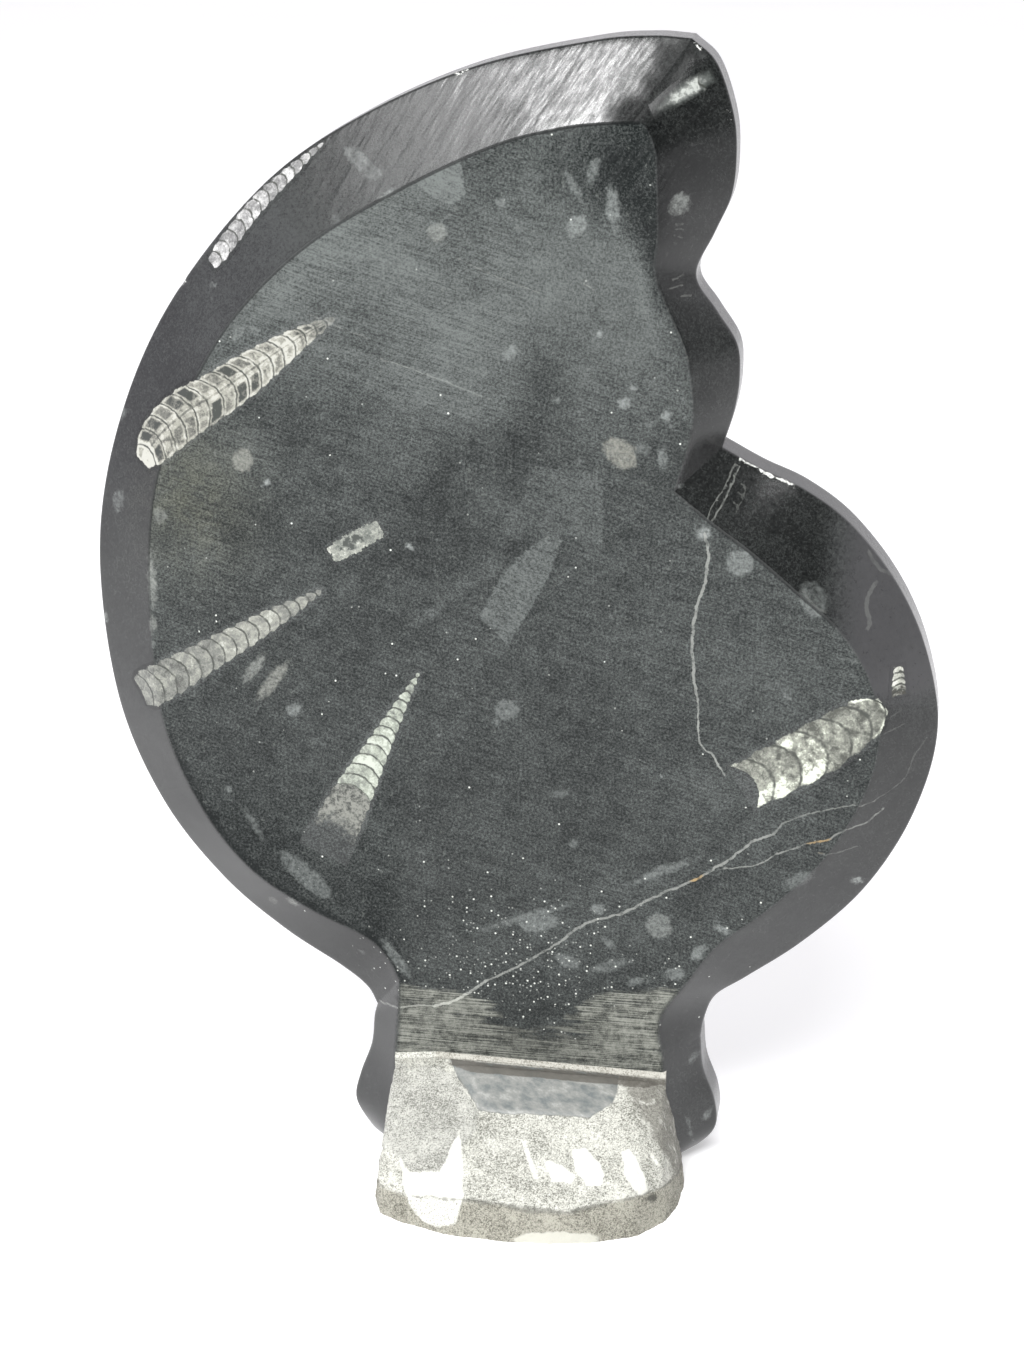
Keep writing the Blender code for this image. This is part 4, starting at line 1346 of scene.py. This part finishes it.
def build_shell(name, spec, surface):
    """A closed lens of calcite: its top just proud of the stone, its underside deep within it."""
    rows = shell_rows(spec, surface)
    points = [point for row in rows for point in row]
    size, wide = len(points), len(rows[0])
    last_row, last = len(rows) - 1, wide - 1
    faces = []
    for i in range(last_row):
        for j in range(last):
            a, b = i * wide + j, (i + 1) * wide + j
            faces.append((a, a + 1, b + 1, b))
            faces.append((a + size, b + size, b + 1 + size, a + 1 + size))
    ring = [i * wide for i in range(last_row)]
    ring += [last_row * wide + j for j in range(last)]
    ring += [i * wide + last for i in range(last_row, 0, -1)]
    ring += range(last, 0, -1)
    for i, j in hoop(len(ring)):
        a, b = ring[i], ring[j]
        faces.append((a, b, b + size, a + size))
    obj = solid_from(name + "_shell", [p[0] for p in points] + [p[1] for p in points], faces)
    set_attributes(obj.data, {key: [p[2][key] for p in points] * 2 for key in points[0][2]})
    paint(obj.data)
    obj.data.shade_smooth()
    obj.data.set_sharp_from_angle(angle=math.radians(50))
    obj.data.materials.append(shell_material(name, spec))
    return obj


POLISHED, ROUGH, HONED = range(3)  # the stone's materials, by their place in the mesh


def hone_face(mesh):
    """Gives the flat face the honed finish."""
    index = read(mesh.polygons, "material_index", np.int32, 1).ravel()
    depth = read(mesh.polygons, "center")[:, 1] / MM
    index[(index == POLISHED) & (np.abs(depth - FACE_Y) < 0.06)] = HONED
    mesh.polygons.foreach_set("material_index", index)
    mesh.update()


def build_stone():
    """The whole stone as one mesh, and the slab's bare surface for the shells to lie on."""
    slab = slab_mesh()
    chip_rim(slab.data)
    surface = BVHTree.FromObject(slab, bpy.context.evaluated_depsgraph_get())
    foot, ledge = foot_mesh(), ledge_mesh()
    materials = [cut_stone("polished_stone", POLISHED_LEVEL), rough_stone()]
    materials.append(cut_stone("honed_stone", HONED_LEVEL))
    for obj in (slab, foot, ledge):
        for material in materials:
            obj.data.materials.append(material)
    for rough in (foot, ledge):
        rough.data.polygons.foreach_set("material_index", [ROUGH] * len(rough.data.polygons))
    stone = combined(slab, "UNION", combined(foot, "UNION", ledge))
    stone = combined(stone, "DIFFERENCE", saw_cut())
    stone.name = stone.data.name = "fossil_stone"
    paint(stone.data)
    paint_foot(stone.data)
    hone_face(stone.data)
    stone.data.shade_smooth()
    stone.data.set_sharp_from_angle(angle=math.radians(40))
    return stone, surface


stone, surface = build_stone()
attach(stone, "root")
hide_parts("stone")
for name, spec in SHELLS.items():
    piece = build_shell(name, spec, surface)
    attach(piece, "root")
    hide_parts(name)

# ---------------------------------------------------------------- floor, light and camera

# Lengths here are in metres, but for the camera's sensor in mm.
FLOOR_REACH = 9.0  # from its middle to each side
CAMERA_AIM = Vector((0.0019, 0.0, 0.147))
CAMERA_DISTANCE = 0.729
CAMERA_TURN, CAMERA_PITCH = math.radians(9.5), math.radians(20.5)
FOCAL_PIXELS, PHOTO_HEIGHT = 2700, 1365  # focal length in the photo's pixels, and its height
SENSOR = 36
FLOOR_GLOW = 0.33
ROOM_MIDDLE = Vector((0.35, -0.85, 0.35))  # where the dim part of the room is, seen from the stone


def build_floor():
    """A large white floor that glows a little, so that it is white all the way back."""
    bm = bmesh.new()
    bmesh.ops.create_grid(bm, x_segments=8, y_segments=8, size=FLOOR_REACH)
    floor = object_from(bm, "floor")
    n = Nodes(bpy.data.materials.new("pale_floor"))
    tone = n.noise(0.004, 2, 0.5).ramp(0.3, 0.7)
    n.shade(PRINCIPLED, {
        "Base Color": n.mix(tone, (0.83, 0.83, 0.84), (0.86, 0.86, 0.86)), "Roughness": 0.7,
        "Emission Color": (1, 1, 1), "Emission Strength": FLOOR_GLOW,
    })
    floor.data.materials.append(n.owner)


def build_world():
    """White behind the object, a dim room in front of it and bright walls to its sides."""
    world = bpy.data.worlds.new("studio")
    bpy.context.scene.world = world
    n = Nodes(world)
    heading = n.value("TexCoord", {}, "Generated")
    front = {0: heading, 1: ROOM_MIDDLE.normalized()}
    front = n.value("VectorMath", front, "Value", operation="DOT_PRODUCT")
    room = n.mix(front.ramp(0.25, 0.8), (0.97, 0.955, 0.985), (0.22, 0.22, 0.22))
    straight = n.value("LightPath", {}, "Is Camera Ray")
    n.shade("Background", {"Color": n.mix(straight, room, (1, 1, 1)), "Strength": 1.0})


def area_light(name, place, aim, size, watts, colour=(1, 1, 1)):
    """A rectangular light at a place, turned towards its aim."""
    light = bpy.data.lights.new(name, "AREA")
    light.shape = "RECTANGLE"
    light.size, light.size_y = size
    light.energy = watts
    light.color = colour
    obj = linked(name, light)
    obj.location = place
    obj.rotation_euler = (Vector(aim) - Vector(place)).to_track_quat("-Z", "Y").to_euler()


def build_camera():
    """Looks down on the stone from its front, a little to its right."""
    back = Vector((
        math.sin(CAMERA_TURN) * math.cos(CAMERA_PITCH),
        -math.cos(CAMERA_TURN) * math.cos(CAMERA_PITCH),
        math.sin(CAMERA_PITCH),
    ))
    camera = bpy.data.cameras.new("camera")
    camera.sensor_width = SENSOR
    camera.lens = SENSOR * FOCAL_PIXELS / PHOTO_HEIGHT
    obj = linked("camera", camera)
    obj.location = CAMERA_AIM + back * CAMERA_DISTANCE
    obj.rotation_euler = (-back).to_track_quat("-Z", "Y").to_euler()
    bpy.context.scene.camera = obj


build_floor()
build_world()
area_light("overhead", (-0.02, -0.9, 1.1), (0.02, 0, 0.3), (0.8, 0.2), 18)
area_light("gleam", (-0.3, -0.77, 1.25), (0.02, 0, 0.3), (0.36, 0.26), 6.8)
area_light("overhead_left", (-0.55, -0.76, 1.07), (0, 0, 0.28), (0.6, 0.4), 4.8)
area_light("left_wall", (-1.3, -0.25, 0.45), (0, 0, 0.2), (1.3, 0.9), 1.25, (0.86, 0.8, 1.0))
build_camera()
bpy.context.scene.view_settings.view_transform = "Standard"
